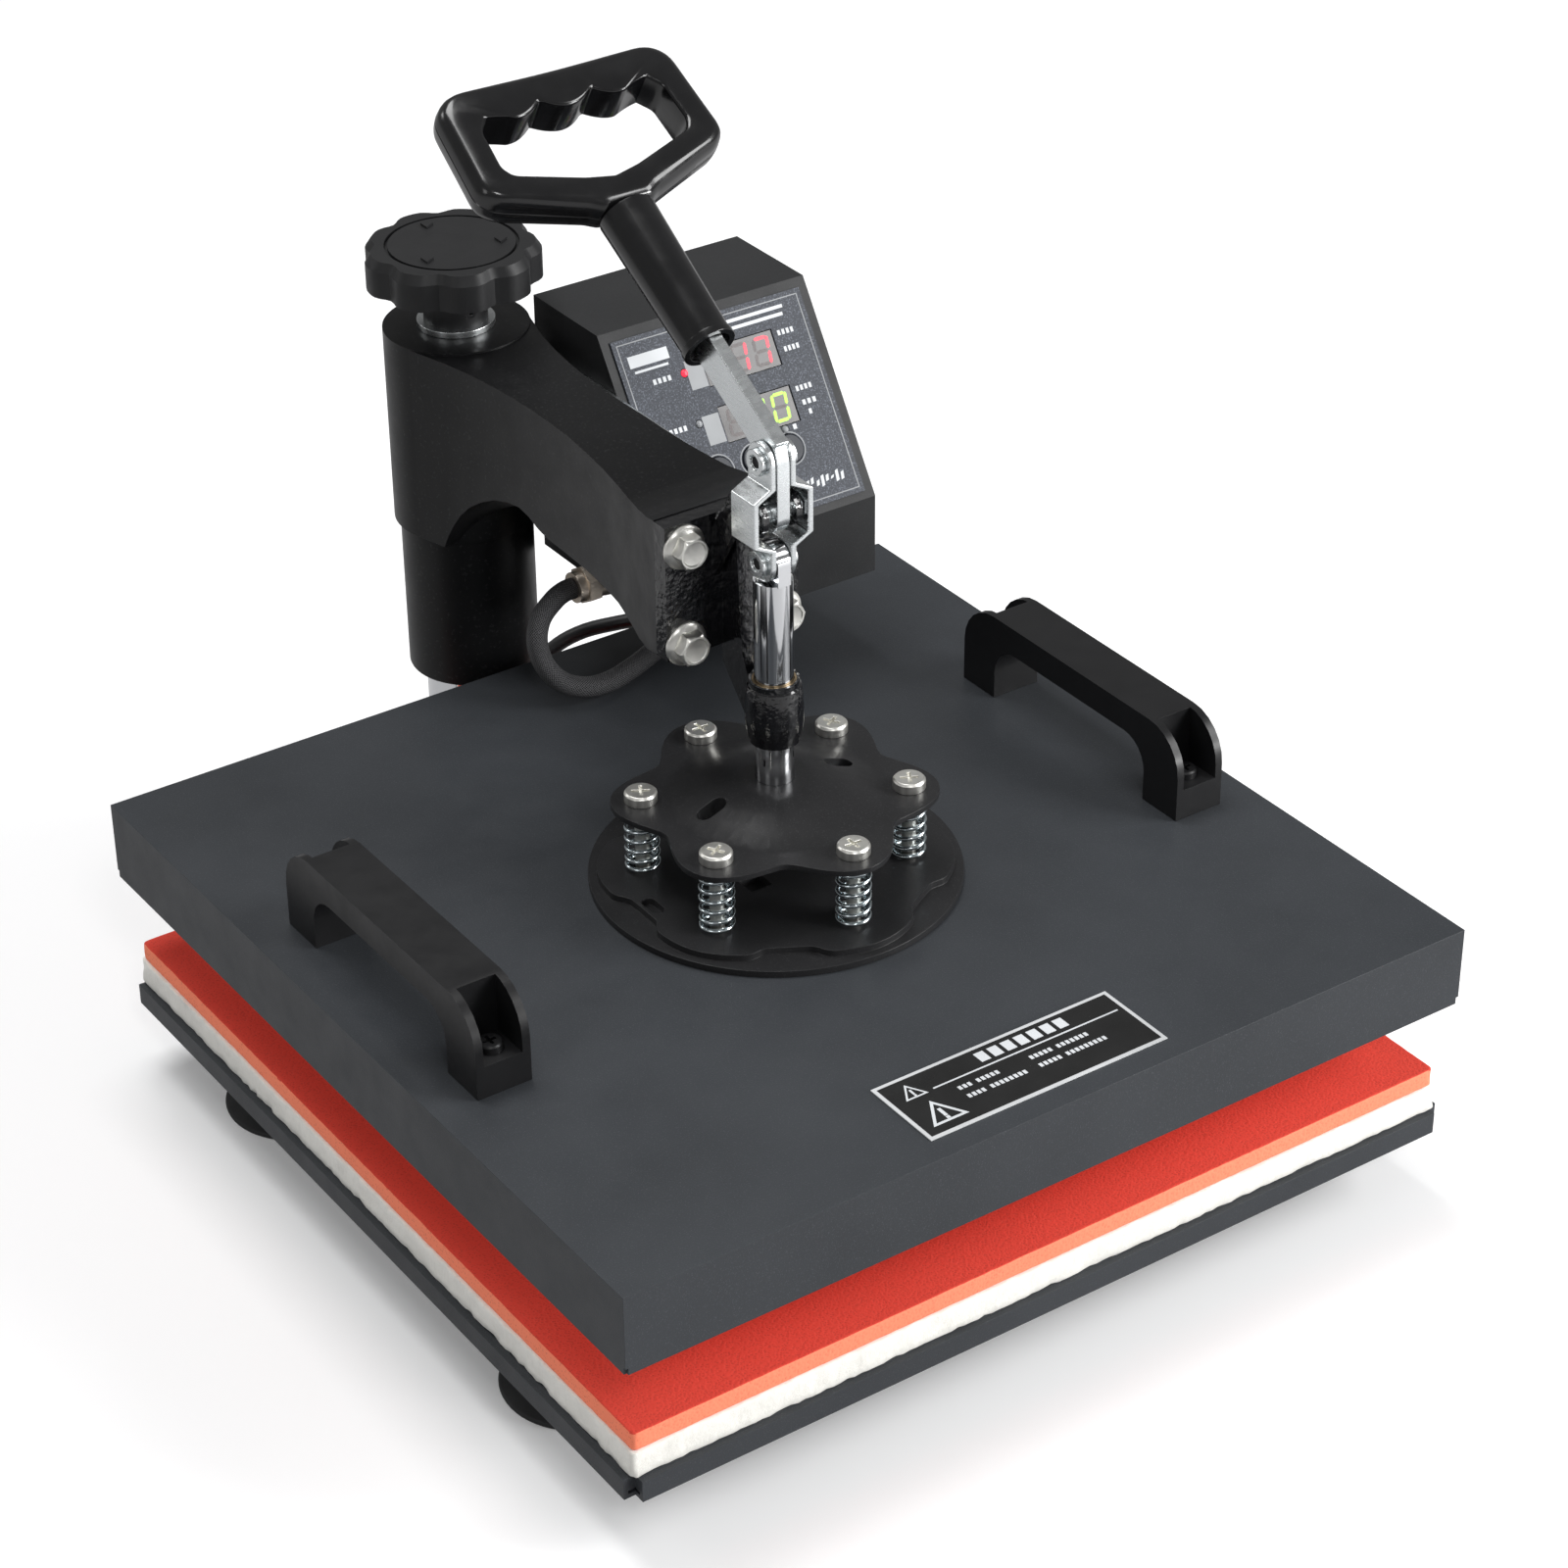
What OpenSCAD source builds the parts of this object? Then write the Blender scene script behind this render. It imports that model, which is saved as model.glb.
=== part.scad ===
// Swing-away flat heat press: base, post, swinging arm with control box, toggle lever,
// sprung platen head, and the mains lead. Millimetres, +Z up, -Y is the operator's side.

/* [Platens] */
// Side of the square upper platen cover
cover_w = 400; // [360:5:420]
// Height of the upper cover's skirt
cover_h = 35.5; // [30:0.5:40]
// Side of the lower tray
tray_w = 398; // [360:2:400]
// Distance between the red pad and the heating plate with the press open
open_gap = 30; // [20:1:34]

/* [Stand] */
// Height of the upper cover's top face above the bench
cover_top = 130; // [128:1:134]
// Distance from the platen's centre to the column's axis
column_y = 236; // [230:1:240]
// Radius of the chrome post
post_r = 22; // [21:0.5:22]

/* [Lever] */
// Distance from the fulcrum pin to the crank pin
crank_r = 23.3; // [23:0.1:23.6]
// Distance between the link's two pins
link_l = 44.3; // [44:0.1:44.6]
// Slope of the open lever above horizontal, in degrees
lever_slope = 31.5; // [30:0.5:34]
// Outer width of the loop handle
loop_w = 112; // [100:2:116]

/* [Knob] */
// Outer radius of the height knob
knob_r = 38.5; // [36:0.5:40]
// Number of lobes round the height knob
knob_lobes = 9; // [7:1:12]

/* [Float springs] */
// Number of float bolts and springs
float_n = 6; // [6:1:6]
// Radius of the circle the float bolts stand on
float_r = 54.5; // [54:0.5:56]

/* [Hidden] */
$fn = 48;
e = 0.01;

platen_y = -(column_y + knob_r - cover_w / 2) / 2;
floor_z = -cover_top;
head_y = -5;
tray_top = -cover_h - 3.5 - open_gap - 20;
tray_bottom = tray_top - 9.7;
spine_t = 8;
bar_t = 12;
foot_h = cover_top + tray_bottom - spine_t - bar_t;
foot_x = 157;
front_y = -95;
rear_y = 132;
flange_z = tray_bottom + 8;
sleeve_r = post_r + 2.5;
tube_r = 29.4;
boss_r = 32;
boss_top = 155;
boss_bottom = 64;
run = 0.05;
flange_y = 31.5;
fulcrum_z = 166.5;
crank_z = fulcrum_z + crank_r;
tang_z = crank_z - link_l;
barrel_bottom = 64;
barrel_top = 92;
shaft_r = 8;
ear_x = 6.4;
ear_t = 2.8;
link_near = 3.4;
link_far = 11.5;
link_t = 2.6;
bolt_x = 23;
bolt_z = [102, 145.5];
knob_z = boss_top + 21.5;
knob_h = 16;
box_x1 = 36;
box_x2 = 143;
box_back_y = 229;
box_bottom = 37.5;
panel_low = [124, 75];
panel_high = [179, 160.5];
panel_l = norm(panel_high - panel_low);
panel_tilt = atan2(panel_high[1] - panel_low[1], panel_high[0] - panel_low[0]);
panel_w = box_x2 - box_x1;
button_x = [-36, -17.5, 1, 19.5];
button_y = 31;
button_r = 6.2;
display_x = 10;
display_y = [75, 49.5];
display_w = 38;
display_h = 16.5;
lamps = [[-19, 75.7], [-20, 53], [20, 39.6]];
lamp_r = 1.7;
tray_bolt_x = 28;
tray_bolt_y = [-60, 90];
rocker_at = [box_x2 - 3.6, 185.9, 75.9];
bend_at = [-6, 194];
star_top = 6;
dome_z = 36;
hose_d = 9.4;
lead_d = 7;
coil_mean_r = 38.5;
coil_at = [47 + coil_mean_r + lead_d, 305];

black = [0.06, 0.06, 0.065];
grey_paint = [0.22, 0.23, 0.24];
zinc = [0.72, 0.74, 0.76];
chrome = [0.8, 0.81, 0.83];

// ---- Frames and small helpers ----

module at_platen() translate([0, platen_y, cover_top]) children();
module at_column() translate([0, platen_y + column_y, cover_top]) children();
module at_head() translate([0, platen_y + head_y, cover_top]) children();

// x across the sloping panel, y up it, z out of it, from the middle of its lower edge
module on_panel() at_platen()
    translate([(box_x1 + box_x2) / 2, panel_low[0], panel_low[1]])
    rotate([panel_tilt, 0, 0]) children();

// x across, y along the open lever from its bend, z up out of it
module along_lever() at_platen()
    translate([0, bend_at[0], bend_at[1]]) rotate([lever_slope, 0, 0]) children();

function arc(cx, cy, r, a0, a1, n) =
    [for (i = [0:n]) [cx + r * cos(a0 + (a1 - a0) * i / n), cy + r * sin(a0 + (a1 - a0) * i / n)]];

module box_at(x, y, z, sx, sy, sz) translate([x - sx / 2, y - sy / 2, z]) cube([sx, sy, sz]);

module square_at(s, z, t) translate([-s / 2, -s / 2, z]) cube([s, s, t]);

module tube(ro, ri, z0, z1) difference() {
    translate([0, 0, z0]) cylinder(r = ro, h = z1 - z0);
    translate([0, 0, z0 - 1]) cylinder(r = ri, h = z1 - z0 + 2);
}

// A rod along X through a side view's point (y, z)
module rod_x(y, z, r, x0, x1)
    translate([x0, y, z]) rotate([0, 90, 0]) cylinder(r = r, h = x1 - x0);

// A Y-Z outline made x0 to x1 thick
module side_cut(points, x0, x1)
    translate([x0, 0, 0]) rotate([90, 0, 90]) linear_extrude(x1 - x0) polygon(points);

module cross_head(r, t) difference() {
    union() {
        cylinder(r = r, h = t * 0.8);
        translate([0, 0, t * 0.8]) cylinder(r1 = r, r2 = r * 0.88, h = t * 0.2);
    }
    for (a = [0, 90]) rotate(a) box_at(0, 0, t - 2, r * 1.1, 1.4, 3);
}

module hex_head(r, t) {
    cylinder(r = r * 1.28, h = 1.8);
    translate([0, 0, 1.8]) cylinder(r = r, h = t - 1.8, $fn = 6);
}

// ---- Base ----

module spine_plate() color(black) at_platen() difference() {
    translate([-40, -112, tray_bottom - spine_t])
        cube([80, 112 + column_y + 37, spine_t]);
    for (x = [-tray_bolt_x, tray_bolt_x], y = tray_bolt_y)
        translate([x, y, tray_bottom - spine_t - 1]) cylinder(r = 4, h = spine_t + 2);
}

module crossbar(y) at_platen() difference() {
    box_at(0, y, tray_bottom - spine_t - bar_t, 2 * foot_x + 40, 30, bar_t);
    for (s = [-1, 1]) translate([s * foot_x, y, tray_bottom - spine_t - bar_t - 1])
        cylinder(r = 4.1, h = bar_t + 2);
}

module front_crossbar() color(black) crossbar(front_y);
module rear_crossbar() color(black) crossbar(rear_y);

module each_foot() at_platen()
    for (x = [-foot_x, foot_x], y = [front_y, rear_y]) translate([x, y, floor_z]) children();

module rubber_feet() color([0.03, 0.03, 0.03]) each_foot() difference() {
    rotate_extrude() polygon([
        [0, 2.5], [24, 2.5], [28, 0], [32, 0], [32, 2.2], [24, 5.5], [17, 7.5], [16, foot_h], [0, foot_h]
    ]);
    translate([0, 0, 5]) cylinder(r = 4.1, h = foot_h);
}

module foot_screws() color(zinc) each_foot() {
    translate([0, 0, 5]) cylinder(r = 4, h = foot_h + bar_t - 5 + 1);
    translate([0, 0, foot_h + bar_t]) cylinder(r = 6.5, h = 5, $fn = 6);
}

module post_flange() color(black) at_column() difference() {
    translate([-35, -35, tray_bottom]) cube([70, 70, 8]);
    translate([0, 0, tray_bottom - 1]) cylinder(r = post_r, h = 10);
    for (x = [-27, 27], y = [-27, 27]) translate([x, y, tray_bottom - 1]) cylinder(r = 4.1, h = 10);
}

module post_bolts() color(zinc) at_column() for (x = [-27, 27], y = [-27, 27])
    translate([x, y, 0]) {
        translate([0, 0, tray_bottom]) cylinder(r = 4, h = 8);
        translate([0, 0, flange_z]) hex_head(5, 6);
    }

module post() color(chrome) at_column() difference() {
    translate([0, 0, tray_bottom]) cylinder(r = post_r, h = 112 - tray_bottom);
    translate([0, 0, 92]) cylinder(r = 14, h = 21);
    translate([0, 0, 60]) cylinder(r = 9.5, h = 33);
}

module post_nut() color([0.75, 0.6, 0.3]) at_column() tube(14, 8 + run, 92, 112);

module lower_tray() color(grey_paint) at_platen() difference() {
    w = tray_w / 2;
    union() {
        square_at(tray_w, tray_bottom, 2);
        for (a = [0:90:270]) rotate(a) {
            translate([-w + 5, -w, tray_bottom]) cube([tray_w - 10, 2, 9.7]);
            translate([-w + 5, -w + 3.2, tray_top - 3.2]) rotate([0, 90, 0])
                cylinder(r = 3.2, h = tray_w - 10);
        }
    }
    for (a = [0:90:270]) rotate(a) translate([-w - 1, -w - 1, tray_bottom - 1]) cube([6, 6, 12]);
}

module tray_bolts() color(zinc) at_platen() for (x = [-tray_bolt_x, tray_bolt_x], y = tray_bolt_y)
    translate([x, y, tray_bottom - spine_t]) {
        cylinder(r = 4, h = spine_t);
        mirror([0, 0, 1]) hex_head(6.5, 6);
    }

module filler_board() color([0.5, 0.42, 0.3]) at_platen()
    square_at(tray_w - 14, tray_bottom + 2, 7.7);

module felt_pad() color([0.94, 0.93, 0.88]) at_platen() square_at(tray_w - 5, tray_top, 12);

module silicone_pad() color([0.78, 0.2, 0.14]) at_platen() square_at(tray_w - 8, tray_top + 12, 8);

// ---- Height adjustment ----

module lift_sleeve() color([0.7, 0.5, 0.25]) at_column() tube(sleeve_r, post_r + run, -6, 128);

module thrust_washer() color(zinc) at_column() tube(17, 8.6, boss_top, boss_top + 3);

module spindle() color(zinc) at_column() translate([0, 0, 84]) cylinder(r = 8, h = knob_z + 8 - 84);

module knob() color(black) at_column() {
    top = knob_h - 4;
    translate([0, 0, knob_z]) difference() {
        union() {
            linear_extrude(top) knob_outline();
            translate([0, 0, top]) linear_extrude(4, scale = 0.93) knob_outline();
            for (a = [0:120:240]) rotate(a)
                translate([0, 21, knob_h]) cylinder(r = 3.2, h = 1, $fn = 3);
        }
        translate([0, 0, -1]) cylinder(r = 8, h = 9);
        difference() {
            translate([0, 0, knob_h - 1.5]) cylinder(r = 29, h = 4);
            cylinder(r = 27.5, h = 60);
        }
    }
    difference() {
        union() {
            translate([0, 0, boss_top + 3]) cylinder(r = 14, h = 18.5);
            translate([0, 0, knob_z - 3.5]) cylinder(r = 18, h = 3.5);
        }
        translate([0, 0, boss_top]) cylinder(r = 8, h = 30);
        translate([0, 0, boss_top + 10]) rotate([90, 0, 0]) cylinder(r = 2.6, h = 20);
    }
}

function knob_radius(a) = knob_r - 3.6 * pow((1 - cos(a * knob_lobes)) / 2, 2.2);

// One lobe points along +Y
module knob_outline()
    polygon([for (a = [0:4:356]) knob_radius(a) * [cos(a + 10), sin(a + 10)]]);

module knob_set_screw() color([0.1, 0.1, 0.1]) at_column()
    translate([0, -8, boss_top + 10]) rotate([90, 0, 0]) difference() {
        cylinder(r = 2.6, h = 5.9);
        translate([0, 0, 3.6]) cylinder(r = 1.3, h = 3, $fn = 6);
    }

// ---- Arm ----

arm_side = [
    [flange_y, 96], [flange_y, 156.5], [40, 153.6], [50, 151.8], [62, 151.2], [85, 152.5],
    [115, 154.2], [column_y, 154.4], [column_y, boss_bottom], [211, boss_bottom], [208.5, 70],
    [205, 76.5], [200, 83.5], [194, 89.5], [186, 95], [177, 99.5], [168, 102.2], [159, 103.2],
    [152, 101.8], [145, 98.8], [136, 97.2], [100, 97.2], [76, 96.2], [62, 93], [54, 91], [44, 91.4]
];

arm_half = [
    [31.7, flange_y], [30.2, 37], [27.4, 47], [24.6, 59], [22.2, 72], [20.3, 85], [18.8, 100],
    [17.9, 115], [17.3, 130], [17.3, 145], [17.9, 160], [19.3, 175], [21.3, 190], [24.3, 205],
    [27.8, 217], [30.6, 227], [boss_r, column_y]
];
arm_plan = concat(arm_half,
    [for (i = [len(arm_half) - 1:-1:0]) [-arm_half[i][0], arm_half[i][1]]]);

module arm_casting() color(black) difference() {
    union() {
        at_platen() intersection() {
            side_cut(arm_side, -40, 40);
            linear_extrude(200) polygon(arm_plan);
        }
        at_column() translate([0, 0, boss_bottom]) cylinder(r = boss_r, h = boss_top - boss_bottom);
        at_platen() translate([10, 102, 117]) cube([13, 48, 16]);
    }
    at_column() {
        translate([0, 0, boss_bottom - 1]) cylinder(r = tube_r, h = 27);
        translate([0, 0, 80]) cylinder(r = 26.5, h = 60);
        translate([0, 0, 130]) cylinder(r = 8.6, h = 40);
    }
    at_platen() for (x = [-bolt_x, bolt_x], z = bolt_z) translate([x, flange_y - 1, z])
        rotate([-90, 0, 0]) cylinder(r = 4.05, h = 14);
}

module column_tube() color(black) at_column() tube(tube_r, 26.5, -10, 90);

module column_bushes() color([0.85, 0.85, 0.8]) at_column() {
    tube(26.5, sleeve_r + run, 92, 124);
    tube(26.5, sleeve_r + run, -10, 12);
}

// Flange, two ears for the fulcrum, web and guide barrel
module head_bracket() color([0.05, 0.05, 0.05]) at_platen() difference() {
    union() {
        translate([-31.7, flange_y - 8, 96]) cube([63.4, 8, 60]);
        for (x = [-ear_x - ear_t, ear_x]) side_cut(concat(
            arc(head_y, fulcrum_z, 7.5, 90, 270, 12),
            [[6, 158], [flange_y - 8 + e, 128], [flange_y - 8 + e, 150], [10, 172]]
        ), x, x + ear_t);
        side_cut([[13, 148], [flange_y - 7, 153], [flange_y - 7, 88], [head_y + 10, 66],
            [head_y + 10, 86], [10, 97]], -5, 5);
        translate([0, head_y, 0]) rotate_extrude() polygon([
            [0, barrel_bottom], [10.4, barrel_bottom], [11.3, 68], [11.9, 73], [12, 79],
            [11.6, 85], [11, 89], [10.3, 89.6], [10.3, barrel_top], [0, barrel_top]
        ]);
    }
    translate([0, head_y, 40]) cylinder(r = 9.2, h = 60);
    for (x = [-bolt_x, bolt_x], z = bolt_z) translate([x, flange_y + 1, z])
        rotate([90, 0, 0]) cylinder(r = 4.05, h = 10);
    rod_x(head_y, fulcrum_z, 4, -12, 12);
}

module guide_bush() color([0.75, 0.6, 0.3]) at_head()
    tube(9.2, shaft_r + run, barrel_bottom, barrel_top);

module bracket_bolts() color(zinc) at_platen() for (x = [-bolt_x, bolt_x], z = bolt_z)
    translate([x, flange_y - 8, z]) rotate([90, 0, 0]) {
        tube(9.5, 4.05, 0, 1.6);
        translate([0, 0, 1.6]) hex_head(6.8, 6.5);
        mirror([0, 0, 1]) cylinder(r = 4, h = 20);
        translate([0, 0, -1]) cylinder(r = 4, h = 3);
    }

module fulcrum_pin() color(zinc) at_platen() {
    out = ear_x + ear_t;
    rod_x(head_y, fulcrum_z, 4, -out, out);
    rod_x(head_y, fulcrum_z, 5.8, -out - 1.9, -out);
    rod_x(head_y, fulcrum_z, 5.8, out, out + 1.9, $fn = 6);
}

// ---- Control box ----

// The box's side outline, moved in by t
function box_side(t) = let (
    s = t / sin(panel_tilt),
    k = t * tan((90 - panel_tilt) / 2)
) [
    [box_back_y + 1, box_bottom + t], [panel_low[0] + t, box_bottom + t],
    [panel_low[0] + t, panel_low[1] - k], [panel_high[0] + s - t / tan(panel_tilt), panel_high[1] - t],
    [box_back_y + 1, panel_high[1] - t]
];

module box_shell() color([0.16, 0.16, 0.17]) difference() {
    at_platen() difference() {
        intersection() {
            side_cut(box_side(0), box_x1, box_x2);
            translate([box_x1, 0, 0]) cube([panel_w, box_back_y, 200]);
        }
        side_cut(box_side(2), box_x1 + 2, box_x2 - 2);
        rod_x(172, 48, 6.2, box_x1 - 1, box_x1 + 4);
        translate([100, 205, box_bottom - 1]) cylinder(r = 5.2, h = 5);
        translate([box_x2 - 3, 176, 62]) cube([4, 20, 27]);
    }
    on_panel() panel_holes();
}

module box_back() color([0.16, 0.16, 0.17]) at_platen() {
    difference() {
        translate([box_x1, box_back_y, box_bottom])
            cube([panel_w, 1.5, panel_high[1] - box_bottom]);
        for (i = [0:6]) translate([64 + i * 9, box_back_y - 1, 110]) cube([3.5, 4, 26]);
    }
    for (x = [box_x1 + 7, box_x2 - 7], z = [box_bottom + 8, panel_high[1] - 8])
        translate([x, box_back_y + 1.5, z]) rotate([-90, 0, 0]) cross_head(3.4, 2);
}

// Holes through the sloping face for the displays, lamps and buttons
module panel_holes() {
    for (y = display_y) box_at(display_x, y, -5, display_w, display_h, 10);
    for (x = button_x) translate([x, button_y, -5]) cylinder(r = button_r + 0.4, h = 10);
    for (p = lamps) translate([p[0], p[1], -5]) cylinder(r = lamp_r + 0.2, h = 10);
}

module control_panel() color([0.2, 0.21, 0.24]) on_panel() difference() {
    translate([-panel_w / 2 + 4.5, 3.5, 0]) cube([panel_w - 9, panel_l - 8, 0.8]);
    panel_holes();
}

module displays() color([0.25, 0.05, 0.05]) on_panel() {
    for (y = display_y) box_at(display_x, y, -8, display_w - 0.4, display_h - 0.4, 8.2);
    for (p = lamps) translate([p[0], p[1], -4.4]) cylinder(r = lamp_r, h = 5);
}

module circuit_board() color([0.1, 0.35, 0.15]) on_panel() {
    translate([-48, 12, -13]) cube([96, 78, 1.6]);
    translate([-40, 44, -21]) cube([20, 16, 8]);
    translate([-12, 60, -19]) cube([14, 10, 6]);
}

module transformer() color([0.35, 0.3, 0.25]) at_platen() {
    translate([48, 182, box_bottom + 2]) cube([40, 32, 34]);
    translate([44, 188, box_bottom + 8]) cube([48, 20, 22]);
    translate([106, 148, box_bottom + 2]) cube([30, 26, 22]);
}

// Tipped to its off side, about an axis along Y
module rocker_switch() color([0.03, 0.03, 0.03]) at_platen()
    translate(rocker_at) rotate([0, -8, 0]) difference() {
        union() {
            translate([-4, -8.9, -11.9]) cube([10, 17.8, 23.8]);
            translate([0, -9.1, 0]) rotate([-90, 0, 0]) cylinder(r = 2, h = 18.2);
        }
        for (s = [-1, 1]) translate([10.5, -10, s * 9]) rotate([-90, 0, 0]) cylinder(r = 7, h = 20);
    }

module panel_button(i) color([0.13, 0.13, 0.15]) on_panel()
    translate([button_x[i], button_y, -9.5]) {
        cylinder(r = button_r, h = 11.2);
        cylinder(r = button_r + 1.2, h = 5);
    }

module button_1() panel_button(0);
module button_2() panel_button(1);
module button_3() panel_button(2);
module button_4() panel_button(3);

module box_bracket() color(zinc) at_platen() {
    translate([33, 100, 112]) cube([3, 128, 26]);
    for (y = [112, 140]) rod_x(y, 125, 6, 23, 33);
    for (y = [190, 218]) rod_x(y, 131, 4, box_x1 + 2, box_x1 + 4);
}

// ---- Hose from the box to the platen ----

hose_route = [
    [15, 172, 48], [10, 172, 47.6], [4, 171, 45.6], [-4, 169, 40], [-8, 166, 31], [-7, 162, 21],
    [-1, 158, 12.5], [9, 155, 8], [22, 156, 6], [38, 161, 5.8], [54, 168, 5.8], [66, 172.8, 5.8],
    [73.3, 174, 5.8]
];

function unit(v) = v / norm(v);
function spline_at(p, i, t) = let (
    n = len(p),
    a = p[max(i - 1, 0)], b = p[i], c = p[min(i + 1, n - 1)], d = p[min(i + 2, n - 1)]
) 0.5 * (2 * b + t * (c - a) + t * t * (2 * a - 5 * b + 4 * c - d)
    + t * t * t * (3 * b - a - 3 * c + d));
function smooth(p, k) = concat(
    [for (i = [0:len(p) - 2], j = [0:k - 1]) spline_at(p, i, j / k)], [p[len(p) - 1]]);

// A round tube of radius r swept along a list of points
module sweep(path, r, sides) {
    n = len(path);
    rings = [for (i = [0:n - 1]) let (
        t = unit(path[min(i + 1, n - 1)] - path[max(i - 1, 0)]),
        u = unit(cross(abs(t[2]) > 0.9 ? [0, 1, 0] : [0, 0, 1], t)),
        v = cross(t, u)
    ) [for (j = [0:sides - 1]) path[i]
        + r * (cos(360 * j / sides) * u + sin(360 * j / sides) * v)]];
    points = [for (ring = rings, q = ring) q];
    walls = [for (i = [0:n - 2], j = [0:sides - 1]) let (k = (j + 1) % sides)
        each [[i * sides + j, i * sides + k, (i + 1) * sides + k],
            [i * sides + j, (i + 1) * sides + k, (i + 1) * sides + j]]];
    ends = [[for (j = [0:sides - 1]) j], [for (j = [sides - 1:-1:0]) (n - 1) * sides + j]];
    polyhedron(points, concat([for (w = walls) [w[0], w[2], w[1]]], ends));
}

module cable_gland() color([0.8, 0.76, 0.68]) at_platen() {
    rod_x(172, 48, 6, box_x1 - 1, box_x1 + 6);
    rod_x(172, 48, 9, box_x1 - 5, box_x1, $fn = 6);
    rod_x(172, 48, 7.4, box_x1 - 11, box_x1 - 5);
    rod_x(172, 48, 9, box_x1 - 17, box_x1 - 11, $fn = 6);
    rod_x(172, 48, 7, box_x1 - 21, box_x1 - 17);
}

module heater_hose() color(black) at_platen() sweep(smooth(hose_route, 2), hose_d / 2, 10);

// ---- Mains lead ----

lead_route = [
    [100, 205, 12], [100, 206, 4], [97, 211, -6], [89, 222, -13], [77, 234, -18],
    [65, 246, -24], [56, 256, -33], [50, 264, -45], [47.5, 270, -58], [47, 274, -72],
    [47, 275.5, -86], [47, 277.5, -99], [47, 283, -112], [47, 292, -121.5],
    [47, 300, -125.8], [47, 305, -126.4]
];

module strain_relief() color([0.03, 0.03, 0.03]) at_platen() {
    translate([100, 205, 12]) cylinder(r1 = 4.2, r2 = 6.4, h = box_bottom - 12 - 3);
    translate([100, 205, box_bottom - 3]) cylinder(r = 8, h = 3);
    translate([100, 205, box_bottom]) cylinder(r = 5.1, h = 5);
}

module mains_lead() color([0.03, 0.03, 0.03]) at_platen()
    sweep(smooth(lead_route, 2), lead_d / 2, 8);

// Six turns, three beside each other in two layers, open where the lead comes down into them
module lead_coil() color([0.03, 0.03, 0.03]) at_platen() translate([coil_at[0], coil_at[1], floor_z + 0.1])
    difference() {
        rotate_extrude() translate([coil_mean_r - 1.5 * lead_d, 0]) square([3 * lead_d, 2 * lead_d]);
        rotate([0, 0, 180]) rotate_extrude(angle = 36)
            translate([coil_mean_r + lead_d / 2 - 0.2, -1]) square([lead_d + 2, 2 * lead_d + 2]);
    }

module mains_plug() color([0.03, 0.03, 0.03]) at_platen()
    translate([coil_at[0], coil_at[1], floor_z + 0.1 + 2 * lead_d]) {
        translate([-27, -13, 0.2]) cube([34, 26, 17]);
        translate([-39, -5, 4]) cube([12, 10, 10]);
        color(chrome) for (y = [-6.35, 6.35]) translate([7, y - 0.75, 5.5]) cube([16, 1.5, 6.3]);
        color(chrome) translate([7, 0, 13]) rotate([0, 90, 0]) cylinder(r = 2.4, h = 18);
    }

// ---- Lever and toggle ----

module lever_bar() color(zinc) difference() {
    union() {
        at_platen() side_cut(concat(
            arc(head_y, fulcrum_z, 8, 180, 360, 16),
            [[head_y + 8, crank_z - 3]],
            [[head_y + 3, crank_z + 9], [head_y - 6.5, crank_z + 6], [head_y - 8, crank_z]]
        ), -3, 3);
        along_lever() translate([-3, -3, -7.5]) cube([6, 75, 15]);
    }
    at_platen() {
        rod_x(head_y, fulcrum_z, 4 + run, -5, 5);
        rod_x(head_y, crank_z, 4 + run, -5, 5);
    }
}

module grip_tube() color(black) along_lever() difference() {
    union() {
        translate([0, 50, 0]) rotate([-90, 0, 0]) cylinder(r1 = 10.6, r2 = 12, h = 68);
        translate([0, 50, 0]) rotate([-90, 0, 0]) cylinder(r = 11.2, h = 3);
    }
    translate([-3, 49, -7.5]) cube([6, 23, 15]);
    translate([0, 49, 0]) rotate([-90, 0, 0]) cylinder(r = 8.6, h = 8);
}

loop_outer = concat(
    [[11, 118], [16, 121], [loop_w / 2 - 5, 134]],
    arc(loop_w / 2 - 8, 143, 9, -35, 0, 3),
    arc(loop_w / 2 - 13, 176, 12, 0, 90, 5),
    arc(-loop_w / 2 + 13, 176, 12, 90, 180, 5),
    arc(-loop_w / 2 + 8, 143, 9, 180, 215, 3),
    [[-loop_w / 2 + 5, 134], [-16, 121], [-11, 118]]
);

function groove_y(x) = 171 + 3 * cos(15 * (x + 36));

loop_inner = concat(
    [[0, 131.5], [12, 134], [loop_w / 2 - 16, 143], [loop_w / 2 - 13, 148], [loop_w / 2 - 14, 166]],
    [for (x = [36:-2.25:-36]) [x, groove_y(x) - 1]],
    [[-loop_w / 2 + 14, 166], [-loop_w / 2 + 13, 148], [-loop_w / 2 + 16, 143], [-12, 134]]
);

module loop_handle() color(black) along_lever() translate([0, 0, -9])
    linear_extrude(18) difference() {
        polygon(loop_outer);
        polygon(loop_inner);
    }

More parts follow.
